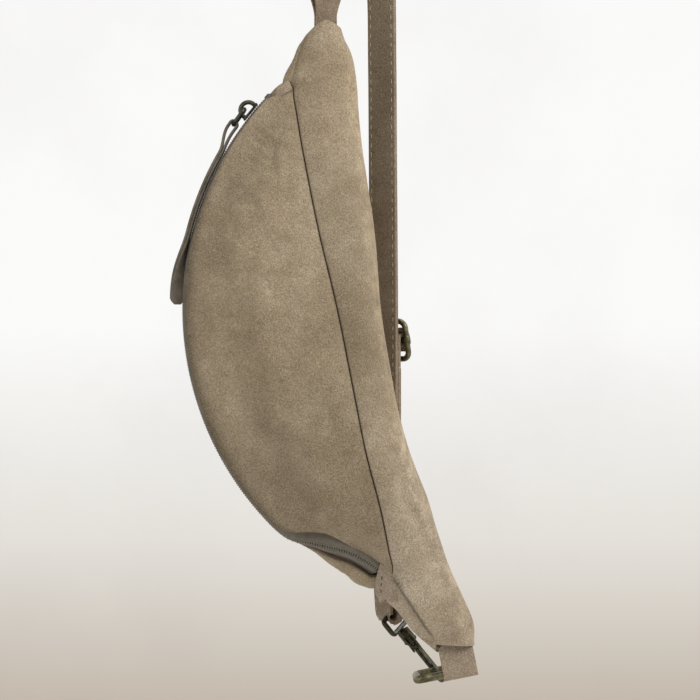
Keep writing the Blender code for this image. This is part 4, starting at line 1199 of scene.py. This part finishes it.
strapLook = {
    "width": 0.020, "thick": 0.0026, "tab": 0.0014, "bend": 0.0125, "sewn": 0.022, "turn": -38.0,
    "turnPlace": (0.42, 0.55), "straight": 0.118, "lowLeg": ((0.30, 0.12), (0.66, 0.50)), "eye": (0.934, 0.283),
    "rightLeg": ((0.30, 1.30, 0.20), (0.85, 1.75, 0.50), (1.30, 2.15, 0.85), (1.38, 2.35, 1.10),
                 (1.41, 2.50, 1.35), (1.44, 2.64, 1.58), (1.46, 2.70, 1.76)),
    "adjusterDrop": 0.018, "pinch": 0.0130, "tabTurn": 35.0, "inner": 0.70, "step": 0.0016, "backReach": 0.0043,
    "eyeTurn": -66.0, "tabThin": 0.92, "endThin": 0.94, "endNarrow": 0.98,
    "row": 0.76, "dip": 0.00014, "proud": 0.00005, "dipHalf": 0.0006, "rounding": 0.0008, "groove": 0.0004,
}
ringLook = {
    "wire": 0.0046, "inner": 0.0278, "deep": 0.0225, "side": 0.0005, "fuller": 0.06,
    "topWire": 0.0034, "topInner": 0.0225, "topDeep": 0.0080,
}
gap = bagShape["seamGap"]


def tubePiece(name, rings, loop=False, crease=50):
    # rings of points joined one to the next, with both ends filled in or the last joined to the first
    tall = len(rings) + (1 if loop else 0)
    around = len(rings[0])
    pickNothing()
    bpy.ops.mesh.primitive_grid_add(x_subdivisions=around, y_subdivisions=tall - 1, size=2)
    thing = named(name)
    for v in thing.data.vertices:
        j = round((v.co.x + 1) / 2 * around)
        i = round((v.co.y + 1) / 2 * (tall - 1))
        v.co = rings[i % len(rings)][j % around]
    pick(thing)
    bpy.ops.object.mode_set(mode="EDIT")
    bpy.ops.mesh.select_all(action="SELECT")
    bpy.ops.mesh.remove_doubles(threshold=0.000002)
    if not loop:
        bpy.ops.mesh.select_all(action="SELECT")
        bpy.ops.mesh.fill_holes(sides=0)
    bpy.ops.mesh.select_all(action="SELECT")
    bpy.ops.mesh.normals_make_consistent(inside=False)
    bpy.ops.object.mode_set(mode="OBJECT")
    smooth(thing, crease)
    return thing


def strapProfile(width, thick, plies, dip):
    # section of a sewn strap: rounded edges, a groove between its plies and a dip under each row of stitches
    look = strapLook
    half, up = width / 2, thick / 2
    r = min(look["rounding"], thick * 0.34)
    row, wide = half * look["row"], look["dipHalf"]
    near = [(half - r, up), (row + wide, up - dip * 0.3), (row, up - dip), (row - wide, up - dip * 0.3),
            (row * 0.5, up)]
    face = near + [(0, up)] + [(-u, v) for u, v in reversed(near)]
    edge = [(-half + r - r * math.sin(t), up - r + r * math.cos(t)) for t in (math.radians(a) for a in (35, 65, 90))]
    if plies == 2:
        groove = min(look["groove"], thick * 0.2)
        edge += [(-half, groove * 0.4), (-half + groove, 0), (-half, -groove * 0.4)]
    edge += [(u, -v) for u, v in reversed(edge[:3])]
    upper = face + edge
    return upper + [(-u, -v) for u, v in upper]


def strapPiece(name, path, wides, width, thick, plies=2, dip=strapLook["dip"], shifts=None):
    rings = []
    for i, point in enumerate(path):
        wide, face = crossAxes(path, wides, i)
        broad = width[i] if isinstance(width, list) else width
        middle = point + wide * shifts[i] if shifts else point
        rings.append([middle + wide * u + face * v for u, v in strapProfile(broad, thick, plies, dip)])
    return tubePiece(name, rings)


def sewRows(name, path, wides, width, thick):
    # two rows of pale stitches on each face, lying in the strap's dips
    sunk = thick / 2 - strapLook["dip"] + strapLook["proud"]
    rows = []
    for face in (1, -1):
        for side in (1, -1):
            line, ups = [], []
            for i, point in enumerate(path):
                wide, up = crossAxes(path, wides, i)
                line.append(point + wide * side * width / 2 * strapLook["row"] + up * face * sunk)
                ups.append(up * face)
            rows.append(stitchRow(name + "Row", line, ups))
    thing = join(name, rows)
    dress(thing, paleThread, "bag", "strap_suede")
    return thing


def foldPath(top, down, side, barGap, reach, radius, inner=14):
    bend, legs = 14, []
    for i in range(inner):
        t = i / inner
        legs.append((t, barGap + (radius - barGap) * rising(t, 0.35, 0.65)))
    points = [top + down * reach * t + side * g for t, g in legs]
    for i in range(bend + 1):
        turn = math.pi * i / bend
        points.append(top + down * (reach + radius * math.sin(turn)) + side * radius * math.cos(turn))
    return points + [top + down * reach * t - side * g for t, g in reversed(legs)]


def makeTabs():
    wide, thick = strapLook["width"], strapLook["tab"]
    thin = thick * strapLook["tabThin"]
    barGap = thick / 2 + gap / 2
    radius = ringLook["wire"] / 2 + gap + thick / 2
    top = place(bagLong * 0.945, 0, 0)
    reach = bagLong * 0.091
    path = evenly(foldPath(top, alongAxis, nearAxis, barGap, reach, radius), 90)[0]
    inner = wide * strapLook["inner"]
    widths, shifts = [], []
    for p in path:
        down, behind = (p - top).dot(alongAxis), (p - top).dot(-nearAxis)
        full = inner + (wide - inner) * ease((down / reach - 0.44) / 0.14)
        under = ease(behind / (0.8 * radius)) if down > reach else (0.0 if behind < 0 else 1.0)
        right = full / 2 + (min(strapLook["backReach"], full / 2) - full / 2) * under
        widths.append(full / 2 + right)
        shifts.append((full / 2 - right) / 2)
    low = strapPiece("bottomTab", path, outAxis, widths, thin, plies=1, shifts=shifts)
    dress(low, tabSuede, "bag", "suede", "tab_bottom")
    bar = top + alongAxis * reach
    length = ringLook["inner"] + ringLook["wire"]
    deep = ringLook["deep"] + ringLook["wire"]
    leftEnd = ringLook["inner"] - strapLook["backReach"] - ringLook["side"]
    centre = bar + outAxis * (leftEnd - ringLook["inner"] / 2) - nearAxis * deep / 2
    loop = roundedLoop(centre, outAxis, nearAxis, length, deep, 0.75 * ringLook["wire"])
    fuller = [1 + ringLook["fuller"] * ease((p - bar).dot(outAxis) / leftEnd - 0.45) for p in loop]
    ring = wirePiece("bottomRing", loop, ringLook["wire"] / 2, closed=True, ends=fuller)
    dress(ring, antiqueBrass, "ring", "antique_brass", "ring_bottom")
    across = Vector((1, 0, 0))
    radius = ringLook["topWire"] / 2 + gap + thick / 2
    start = place(bagLong * 0.045, bagDeep * 0.050, 0)
    reach = bagLong * 0.118
    path = evenly(foldPath(start, upAxis, nearAxis, barGap, reach, radius), 100)[0]
    pinch = strapLook["pinch"]
    widths = [pinch + (wide - pinch) * ease(((p - start).dot(upAxis) / reach - 0.44) / 0.32) for p in path]
    wides = []
    for i, p in enumerate(path):
        below = (start + upAxis * reach - p).dot(upAxis)
        turn = math.radians(strapLook["tabTurn"]) * rising(below, 0.002, 0.010)
        turn *= 1 - 0.6 * rising(below, 0.016, 0.012)
        apart = (p - start).dot(nearAxis)
        path[i] = p + (nearAxis * (math.cos(turn) - 1) + across * math.sin(turn)) * apart
        wides.append(across * math.cos(turn) - nearAxis * math.sin(turn))
    high = strapPiece("topTab", path, wides, widths, thin, plies=1)
    dress(high, shadedTopTabSuede, "bag", "suede", "tab_top")
    topBar = start + upAxis * reach
    length = ringLook["topInner"] + ringLook["topWire"]
    tall = ringLook["topDeep"] + ringLook["topWire"]
    ring = wirePiece("topRing", roundedLoop(topBar + upAxis * tall / 2, across, upAxis, length, tall,
                                            0.8 * ringLook["topWire"]), ringLook["topWire"] / 2, closed=True)
    dress(ring, antiqueBrass, "bag", "antique_brass", "ring_top")
    return topBar + upAxis * tall


def turned(angle):
    return Vector((math.cos(angle), math.sin(angle), 0))


strapTurn = math.radians(strapLook["turn"])


def makeStrap(ringBar, eyeBar):
    wide, thick = strapLook["width"], strapLook["thick"]
    back = Vector((0, 1, 0))
    drop = bagShape["strapDrop"]
    radius = ringLook["topWire"] / 2 + gap + thick / 2
    path = foldPath(ringBar + upAxis * strapLook["sewn"], -upAxis, back, (thick + gap) / 2, strapLook["sewn"], radius,
                    inner=8)
    angles = [0.0] * len(path)
    bend = strapLook["bend"] + thick / 2
    leg = [path[-1], path[-1] + upAxis * strapLook["sewn"]] + [Vector((0, -bend, -k * bend)) for k in (4, 2)]
    for i in range(7):
        turn = math.pi * i / 6
        leg.append(Vector((0, -bend * math.cos(turn), thick / 2 + bend * (math.sin(turn) - 1))))
    leg += [Vector((x * bend, y * bend, -z * drop)) for x, y, z in strapLook["rightLeg"]]
    upper = smoothLine(leg, 6)[1:]
    start, run = strapLook["turnPlace"]
    for p in upper:
        share = ease((-p.z / drop - start) / run) if p.y > 0 else 0.0
        angles.append(strapTurn * share)
    path += upper
    column = path[-1]
    foot = column - upAxis * strapLook["straight"]
    path += [column - upAxis * thick] + [column.lerp(foot, i / 8) for i in range(1, 8)] + [foot]
    angles += [strapTurn] * 9
    eyeRadius = hookLook["eyeWire"] / 2 + gap + thick / 2
    slant = eyeBar - foot
    arrive = Vector((slant.x, 0, slant.z)).normalized()
    side = Vector((arrive.z, 0, -arrive.x))
    goal = eyeBar + side * eyeRadius
    low = [foot - upAxis * thick]
    for down, inward in strapLook["lowLeg"]:
        point = foot.lerp(goal, down)
        point.y = foot.y + (goal.y - foot.y) * inward
        low.append(point)
    low.append(goal - arrive * eyeRadius * 0.6)
    lowPath = smoothLine(low, 6)
    path += lowPath
    lastTurn = math.radians(strapLook["eyeTurn"])
    angles += [strapTurn + (lastTurn - strapTurn) * i / (len(lowPath) - 1) for i in range(len(lowPath))]
    for i in range(13):
        turn = math.pi * i / 12
        path.append(eyeBar + arrive * eyeRadius * math.sin(turn) + side * eyeRadius * math.cos(turn))
        angles.append(lastTurn)
    layer = upAxis.cross(turned(strapTurn)) * (thick + gap)
    backLow = [eyeBar - side * eyeRadius - arrive * eyeRadius]
    backLow += [point + layer * 1.25 for point in reversed(low[1:3])]
    backLow.append(foot + layer - upAxis * 2 * thick)
    backPath = smoothLine(backLow, 6) + [foot + layer - upAxis * thick, foot + layer]
    path += backPath
    angles += [lastTurn + (strapTurn - lastTurn) * i / (len(backPath) - 1) for i in range(len(backPath))]
    kept = [0]
    for i in range(1, len(path)):
        if (path[i] - path[kept[-1]]).length > 0.0002:
            kept.append(i)
    path, angles = [path[i] for i in kept], [angles[i] for i in kept]
    total = sum((b - a).length for a, b in zip(path, path[1:]))
    path, _, angles = evenly(path, int(total / strapLook["step"]), angles)
    wides = [turned(a) for a in angles]
    strap = strapPiece("longStrap", path, wides, wide, thick)
    dress(strap, strapSuede, "bag", "strap_suede", "strap_long")
    sewRows("strapStitches", path, wides, wide, thick)
    return column, foot


adjusterLook = {
    "wire": 0.0034, "height": 0.0262, "inner": 0.0212, "leans": 12.0, "corner": 1.3, "bar": 0.44, "collar": 0.66,
    "sewn": 0.62, "endTurn": 280.0, "bridgeTurn": 158.0,
}


def makeAdjuster(column, foot):
    width, thick = strapLook["width"], strapLook["thick"]
    wide = turned(strapTurn)
    aside = upAxis.cross(wide)
    look = adjusterLook
    rod = look["wire"]
    loopRadius = rod / 2 + gap + thick / 2
    layer = thick + gap
    bar = column + aside * (layer + loopRadius) - upAxis * strapLook["adjusterDrop"]
    tall = look["height"] - rod
    broad = look["inner"] + rod
    leans = math.radians(look["leans"])
    upright = upAxis * math.cos(leans) - aside * math.sin(leans)
    loop = wirePiece("adjusterLoop", roundedLoop(bar, upright, wide, tall, broad, look["corner"] * rod), rod / 2,
                     closed=True)
    middle = wirePiece("adjusterBar", [bar - wide * broad / 2, bar, bar + wide * broad / 2], rod * look["bar"])
    collars = []
    for sign in (1, -1):
        points = [bar + wide * sign * broad / 2 + upright * rod * k for k in (-0.8, -0.5, 0.5, 0.8)]
        collars.append(wirePiece("collar", points, rod * look["collar"], ends=[0.80, 1.0, 1.0, 0.80]))
    whole = join("adjusterFrame", [loop, middle] + collars)
    dress(whole, antiqueBrass, "adjuster", "antique_brass", "adjuster_frame")
    sewn = look["height"] * look["sewn"]
    narrow, thin = width * strapLook["endNarrow"], thick * strapLook["endThin"]
    path = [bar - aside * loopRadius - upAxis * (sewn + 0.55 * gap) * (1 - i / 8) for i in range(8)]
    for i in range(25):
        turn = math.radians(look["endTurn"]) * i / 24
        path.append(bar - aside * loopRadius * math.cos(turn) + upAxis * loopRadius * math.sin(turn))
    end = strapPiece("sewnEnd", path, wide, narrow, thin)
    dress(end, strapSuede, "adjuster", "strap_suede", "strap_end_loop")
    over = loopRadius + layer
    path = [bar - aside * (loopRadius + 0.1 * thick - thick * 0.5 - gap) + upAxis * over]
    for i in range(17):
        turn = math.radians(90 - look["bridgeTurn"] * i / 16)
        path.append(bar + aside * over * math.cos(turn) + upAxis * over * math.sin(turn))
    bridge = strapPiece("strapBridge", path, wide, narrow, thin)
    dress(bridge, strapSuede, "adjuster", "strap_suede", "strap_bridge")
    start = foot + aside * layer + upAxis * gap
    finish = Vector((start.x, start.y, bar.z - sewn - gap))
    steps = 53
    path = [start.lerp(finish, i / steps) for i in range(steps + 1)]
    back = strapPiece("strapReturn", path, wide, width, thick)
    dress(back, strapSuede, "bag", "strap_suede", "strap_return")
    seams = sewRows("returnStitches", path, wide, width, thick)
    for thing in (back, seams):
        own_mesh(thing)
    return bar


hookLook = {
    "wire": 0.0046, "eyeWire": 0.0030, "eyeInner": 0.0230, "eyeLong": 0.0070, "length": 0.0510, "bow": 0.0088,
    "barrel": 0.0039, "barrelLong": 0.0090, "barrelEdge": 0.0006, "stem": 0.0016, "head": 1.6, "clear": 0.0004,
    "collar": (0.0004, 0.0003, 0.0022, 0.0008, 0.0002), "gate": 0.0026, "knuckle": 0.58, "ear": 0.4, "earTall": 1.25,
    "pin": 0.24, "hub": 0.56, "rod": 0.425, "swing": 27.7,
}


def turnedRing(name, centre, axis, section):
    # a section of (radius, along) points carried round an axis
    count = rodLook["turned"]
    side = axis.orthogonal().normalized()
    other = axis.cross(side)
    rings = []
    for i in range(count):
        turn = 2 * math.pi * i / count
        out = side * math.cos(turn) + other * math.sin(turn)
        rings.append([centre + out * r + axis * x for r, x in section])
    return tubePiece(name, rings, loop=True, crease=35)


def barrelSection(inner, outer, start, end, edge):
    return [(inner, start), (outer - edge, start), (outer, start + edge), (outer, end - edge), (outer - edge, end),
            (inner, end)]


def cut(thing, tool):
    step = thing.modifiers.new("cut", "BOOLEAN")
    step.operation = "DIFFERENCE"
    step.solver = "EXACT"
    step.object = tool
    bake(thing)
    bpy.data.objects.remove(tool)


def rodBetween(name, start, end, radius, edge=0.0):
    pickNothing()
    axis = end - start
    bpy.ops.mesh.primitive_cylinder_add(vertices=rodLook["straight"], radius=radius, depth=axis.length)
    thing = named(name)
    thing.matrix_world = Matrix.Translation((start + end) / 2) @ axis.to_track_quat("Z", "Y").to_matrix().to_4x4()
    settle(thing)
    if edge:
        bevel(thing, edge)
        bake(thing)
    smooth(thing, 40)
    return thing


def blockPiece(name, centre, axes, sizes, edge, segments=3):
    pickNothing()
    bpy.ops.mesh.primitive_cube_add(size=1)
    thing = named(name)
    turn = Matrix(axes).transposed()
    thing.scale = sizes
    settle(thing)
    if turn.determinant() < 0:
        turn = Matrix((axes[0], axes[1], -axes[2])).transposed()
    thing.matrix_world = Matrix.Translation(centre) @ turn.to_4x4()
    settle(thing)
    bevel(thing, edge, segments)
    bake(thing)
    smooth(thing, 40)
    return thing


def makeHook(eyeBar):
    look = hookLook
    wire, eyeWire, stemRadius, gate, clear = (look[k] for k in ("wire", "eyeWire", "stem", "gate", "clear"))
    barrelRadius, long = look["barrel"], look["barrelLong"]
    swing = math.radians(look["swing"])
    down = alongAxis * math.cos(swing) - outAxis * math.sin(swing)
    across = down.cross(nearAxis)

    def at(length, offset):
        return eyeBar + down * length + nearAxis * offset

    eyeRun = look["eyeLong"] + eyeWire
    askew = math.radians(90 + strapLook["eyeTurn"])
    eyeWide = nearAxis * math.cos(askew) + across * math.sin(askew)
    loop = roundedLoop(at(eyeRun / 2, 0), down, eyeWide, eyeRun, look["eyeInner"] + eyeWire, 0.8 * eyeWire)
    eye = wirePiece("eyeLoop", loop, eyeWire / 2, closed=True)
    start = eyeRun + eyeWire / 2 + clear
    end = start + long
    stem = rodBetween("eyeStem", at(eyeRun, 0), at(end + clear + stemRadius / 2, 0), stemRadius)
    head = rodBetween("eyeHead", at(end + clear, 0), at(end + clear + stemRadius, 0), look["head"] * stemRadius,
                      edge=0.0003)
    swivel = join("swivelEye", [eye, stem, head])
    dress(swivel, shadedBrass, "swivel_eye", "antique_brass", "hook_eye")
    arm = (look["bow"] + wire) / 2
    bowStart = look["length"] - wire / 2 - arm
    nose = bowStart - 0.35 * arm
    points = [at(end - 0.35 * long, -0.75 * barrelRadius), at(end + 0.1 * long, -0.86 * arm),
              at(end + 0.45 * long, -arm), at(0.5 * (end + bowStart), -arm)]
    for i in range(9):
        turn = math.pi * i / 8
        points.append(at(bowStart + arm * math.sin(turn), -arm * math.cos(turn)))
    points.append(at(nose, arm))
    body = barPiece("hookBow", evenly(smoothLine(points, 6), 60)[0], wire / 2)
    cut(body, rodBetween("bore", at(start - long, 0), at(end + 0.3 * long, 0), stemRadius + clear))
    section = barrelSection(stemRadius + clear, barrelRadius, start, end, look["barrelEdge"])
    barrel = turnedRing("hookBarrel", eyeBar, down, section)
    inside, outside, first, last, edge = look["collar"]
    section = barrelSection(barrelRadius - inside, barrelRadius + outside, end - first, end - last, edge)
    collar = turnedRing("hookCollar", eyeBar, down, section)
    pivot = at(end + 0.35 * long, barrelRadius + 0.5 * gate)
    knuckle, ear, pinRadius = look["knuckle"] * gate, look["ear"] * gate, look["pin"] * gate
    reach = knuckle + gap + ear

    def through(radius):
        return rodBetween("hole", pivot - across * 2 * reach, pivot + across * 2 * reach, radius)

    plates = []
    for sign in (1, -1):
        aside = sign * (knuckle + gap + ear / 2)
        first = at(end - 0.45 * long, 0.62 * barrelRadius) + across * aside
        last = pivot + across * aside
        line = (last - first).normalized()
        plate = blockPiece("ear", (first + last) / 2 + line * 0.3 * gate, (line, across, line.cross(across)),
                           ((last - first).length + 0.9 * gate, ear, look["earTall"] * gate), 0.0003)
        cut(plate, through(pinRadius + gap))
        plates.append(plate)
    whole = join("snapHook", [body, barrel, collar] + plates)
    dress(whole, shadedBrass, "hook", "antique_brass", "hook_body")
    pin = rodBetween("gatePin", pivot - across * reach, pivot + across * reach, pinRadius, edge=0.0001)
    dress(pin, shadedBrass, "hook", "antique_brass", "hook_gate_pin")
    tip = at(nose - wire * 0.2 - gap, arm - 0.1 * gate)
    line = (tip - pivot).normalized()
    points = evenly([pivot + line * knuckle * 0.8, pivot.lerp(tip, 0.5), tip - line * gate * 0.2], 20)[0]
    rod = barPiece("gateRod", points, gate * look["rod"])
    section = barrelSection(pinRadius + gap, look["hub"] * gate, -knuckle, knuckle, 0.0002)
    hub = turnedRing("gateHub", pivot, across, section)
    cut(rod, through(0.4 * gate))
    whole = join("hookGate", [rod, hub])
    dress(whole, shadedBrass, "gate", "antique_brass", "hook_gate")


# zip: tapes, teeth, stops, slider, link and pull

zipLook = {
    "under": 0.0045, "raised": 0.0006, "sag": 0.0034, "pitch": 0.0029, "toothDeep": 0.0018, "toothTall": 0.0026,
    "tooth": (0.00100, 0.0042), "tape": 0.0007, "across": (0.10, 0.25, 0.42, 0.58, 0.74, 0.88, 1.0, 1.16, 1.34),
}
sliderLook = {
    "start": -50.5, "length": 0.0098, "width": 0.0076, "plate": 0.0012, "bowWire": 0.0022, "bowTall": 0.0062,
    "longer": 0.0026, "stouter": 1.20,
    "linkWire": 0.0020, "linkLong": 0.0130, "linkWide": 0.0098, "linkPlace": 0.10, "linkRise": -3.0,
}
pullLook = {
    "length": 0.108, "width": 0.0090, "thick": 0.0024, "standOff": 0.0042, "clear": 0.0029, "endStandOff": 0.0052,
    "twist": 76.0, "twistPlace": (0.60, 0.36), "wall": 0.00150, "rounding": 0.0046, "closer": 0.0024,
}


def makeZip():
    frames = zipFrames(236)
    for name, side, node in (("nearTape", 1, "zip_stringer_front"), ("farTape", -1, "zip_stringer_rear")):
        rows = []
        for point, _, normal, across, _ in frames:
            row = []
            for share in zipLook["across"]:
                sag = zipLook["sag"] * rising(share, 0.35, 0.9) - zipLook["raised"] * falling(share, 0.70, 0.25)
                row.append(place(*(point + across * side * bagShape["zipHalf"] * share - normal * sag)))
            rows.append(row)
        start = turnedWay(frames[0][1])
        rows = [[p - start * zipLook["under"] * k / 3 for p in rows[0]] for k in (3, 2, 1)] + rows
        tape = sheetPiece(name, rows, zipLook["tape"], offset=0.0, rim=0.0001)
        tidyMesh(tape)
        smooth(tape, 50)
        dress(tape, zipTape, "bag", "zip_tape", node)
    length = evenly(zipPoints, 2)[1]
    count = int(length / zipLook["pitch"])
    places = zipFrames(2 * count + 1)
    for name, side in (("nearTeeth", 1), ("farTeeth", -1)):
        long, wide = zipLook["tooth"]
        tooth = blockPiece("tooth", Vector((0, 0, 0)), ((1, 0, 0), (0, 1, 0), (0, 0, 1)),
                           (long, wide, zipLook["toothTall"]), 0.0004, 2)
        spots = []
        for i, (point, ahead, normal, across, _) in enumerate(places):
            if i % 2 != (0 if side > 0 else 1) or i in (0, len(places) - 1):
                continue
            middle = point + across * side * (wide / 2 - zipLook["toothDeep"] * 0.95)
            spots.append(standing(place(*middle), turnedWay(ahead), turnedWay(normal), turnedWay(normal.cross(ahead))))
        teeth = copyTo(name, tooth, spots)
        dress(teeth, zipTeeth, "bag", "zip_tape")


def zipAxes(angle):
    radius = bagShape["zipRadius"]
    middle = place(arcAlong + radius * math.sin(angle), arcOut + radius * math.cos(angle), 0)
    out = alongAxis * math.sin(angle) + outAxis * math.cos(angle)
    ahead = alongAxis * math.cos(angle) - outAxis * math.sin(angle)
    return middle, ahead, out


def makeSlider():
    look = sliderLook
    middle, ahead, out = zipAxes(math.radians(look["start"]))
    axes = (ahead, nearAxis, out)
    crown = zipLook["toothTall"] / 2 + gap + look["length"]**2 / (8 * bagShape["zipRadius"])
    lift = crown + look["plate"] / 2
    size = (look["length"] + look["longer"], look["width"], look["plate"])
    plate = blockPiece("sliderTop", middle + out * lift, axes, size, 0.0005, 4)
    dress(plate, zipMetal, "slider", "zip_metal", "zip_slider_body")
    lower = zipLook["toothTall"] / 2 + 2 * gap + look["plate"] / 2
    under = blockPiece("sliderUnder", middle - out * lower, axes, size, 0.0005, 4)
    dress(under, zipMetal, "slider", "zip_metal", "zip_slider_back")
    seat = middle + out * (lift + look["plate"] / 2 + gap * 0.3)
    base = seat + out * look["bowWire"] / 2
    half = look["length"] * 0.5 - look["bowWire"] / 2 + look["longer"] * 0.3
    rise = look["bowTall"] - look["bowWire"] * (2 - look["stouter"])
    arch = [seat - ahead * half]
    for i in range(21):
        turn = math.pi * i / 20
        arch.append(base + ahead * (-math.cos(turn) * half) + out * (math.sin(turn) * rise))
    arch.append(seat + ahead * half)
    bow = wirePiece("sliderBow", arch, look["bowWire"] / 2 * look["stouter"])
    dress(bow, zipMetal, "slider", "zip_metal", "zip_slider_bow")
    bowBase = middle + out * (crown + look["plate"] + gap + look["bowWire"] / 2)
    raised = look["bowTall"] - 1.5 * look["bowWire"] - look["linkWire"] / 2 - gap
    pivot = bowBase + ahead * (look["linkPlace"] * look["length"]) + out * raised
    run = look["linkLong"] - look["linkWire"]
    rise = math.radians(look["linkRise"])
    linkAhead = ahead * math.cos(rise) + out * math.sin(rise)
    points = roundedLoop(pivot + linkAhead * run / 2, linkAhead, nearAxis, run, look["linkWide"] - look["linkWire"],
                         1.5 * look["linkWire"])
    link = wirePiece("pullLink", points, look["linkWire"] / 2 * look["stouter"], closed=True)
    dress(link, zipMetal, "pull_link", "zip_metal", "zip_pull_link")
    makePull(pivot + linkAhead * run)


def makePull(pivot):
    look = pullLook
    hub = place(arcAlong, arcOut, 0)
    spoke = pivot - hub
    first = math.atan2(spoke.dot(alongAxis), spoke.dot(outAxis))
    rest = bagShape["zipRadius"] + look["standOff"] + look["thick"] / 2 - look["closer"]
    steps = 90
    path, wides = [], []
    for i in range(steps + 1):
        t = i / steps
        angle = first + ((look["length"] - look["clear"]) * t + look["clear"]) / bagShape["zipRadius"]
        twist = ease((t - look["twistPlace"][0]) / look["twistPlace"][1])
        radius = spoke.length + (rest - spoke.length) * ease(t * 7)
        radius += (look["endStandOff"] - look["standOff"]) * twist
        outward = alongAxis * math.sin(angle) + outAxis * math.cos(angle)
        path.append(hub + outward * radius)
        turn = math.radians(look["twist"]) * twist
        wides.append(nearAxis * math.cos(turn) + outward * math.sin(turn))
    ahead = (path[1] - path[0]).normalized()
    inner = sliderLook["linkWire"] / 2 * sliderLook["stouter"] + gap
    wall = look["wall"]
    layers = []
    for sign in (1, -1):
        line = []
        for i, point in enumerate(path):
            t = i / steps
            _, face = crossAxes(path, wides, i)
            part = wall * 0.5 + 0.00004 + (inner - 0.00004) * (1 - ease(t * 7 + 0.12))
            line.append(point + face * sign * part)
        layers.append(line)
    facing = ahead.cross(nearAxis).normalized()
    bend = []
    for i in range(17):
        turn = math.pi * i / 16
        bend.append(pivot - ahead * (inner + wall / 2) * math.sin(turn)
                    + facing * (inner + wall / 2) * math.cos(turn))
    line = layers[0][::-1] + bend + layers[1]
    ways = wides[::-1] + [nearAxis] * len(bend) + wides
    runs = [i / steps for i in range(steps, -1, -1)] + [0.0] * len(bend) + [i / steps for i in range(steps + 1)]
    widths = []
    for t in runs:
        left = (1 - t) * look["length"]
        broad = look["width"] * (0.62 + 0.38 * ease(4 * t))
        if left < look["rounding"]:
            broad *= max(math.sqrt(max(1 - (1 - left / look["rounding"])**2, 0)), 0.30)
        widths.append(broad)
    pull = strapPiece("leatherPull", line, ways, widths, wall, plies=1, dip=0.00003)
    dress(pull, pullLeather, "pull", "pull_leather", "zip_pull_leather", "zip_pull_eye")


def makeEndTabs():
    for name, along, wide, shares, node in (
            ("topEndTab", 0.0, 0.0160, ((0.0890, 0.250, 0.120), (0.0930, 0.292, 0.135), (0.1000, 0.332, 0.105),
                                        (0.1035, 0.352, 0.0)), "zip_end_tab_top"),
            ("lowEndTab", 0.8990, 0.0140, ((0, 0.2906, 0.055), (0, 0.3086, 0.036), (0, 0.3166, 0.0)),
             "zip_end_tab_bottom")):
        points = [Vector(((along + a) * bagLong, o * bagDeep, n * bagThick)) for a, o, n in shares]
        points += [Vector((p.x, p.y, -p.z)) for p in points[-2::-1]]
        path = evenly([place(*p) for p in smoothLine(points, 8)], 46)[0]
        tab = strapPiece(name, path, alongAxis, wide * bagLong, strapLook["tab"], plies=1)
        dress(tab, tabSuede, "bag", "suede", node)


def makeLining():
    tall = 41
    front, rear = panelRows(1, tall, 9), panelRows(-1, tall, 9)
    loops = []
    for i in range(tall):
        share = bagShape["seamStart"] + (bagShape["seamEnd"] - bagShape["seamStart"]) * i / (tall - 1)
        loops.append(front[i][:0:-1][1:] + bandSection(share, 10) + rear[i][1:-1])
    rows = []
    inset = bagShape["suede"] + 0.0030
    for i in range(4, tall - 4):
        loop = loops[i]
        middle = sum(loop, Vector()) / len(loop)
        row = []
        for j in range(len(loop)):
            run = loop[min(j + 1, len(loop) - 1)] - loop[max(j - 1, 0)]
            climb = loops[i + 1][j] - loops[i - 1][j]
            inward = run.cross(climb).normalized()
            if inward.dot(middle - loop[j]) < 0:
                inward = -inward
            row.append(loop[j] + inward * inset)
        rows.append(row)
    pouch = sheetPiece("liningPouch", world(rows), 0.0005)
    tidyMesh(pouch)
    smooth(pouch, 60)
    dress(pouch, liningCotton, "bag", "lining", "lining")


def dressHardNodes():
    for name in ("zip_top_stop", "zip_bottom_stop"):
        wear(nodes[name], zipMetal)
    wear(nodes["hook_spring"], shadedBrass)


makeBag()
makeClosingFlap()
print("suede panels made")
makeLining()
makeZip()
makeSlider()
makeEndTabs()
print("zip, slider and pull made")
upperBar = makeTabs()
eyeBar = place(bagLong * strapLook["eye"][0], bagDeep * strapLook["eye"][1], -ringLook["deep"] - ringLook["wire"])
column, foot = makeStrap(upperBar, eyeBar)
makeAdjuster(column, foot)
makeHook(eyeBar)
dressHardNodes()
print("strap, tabs and hardware made")
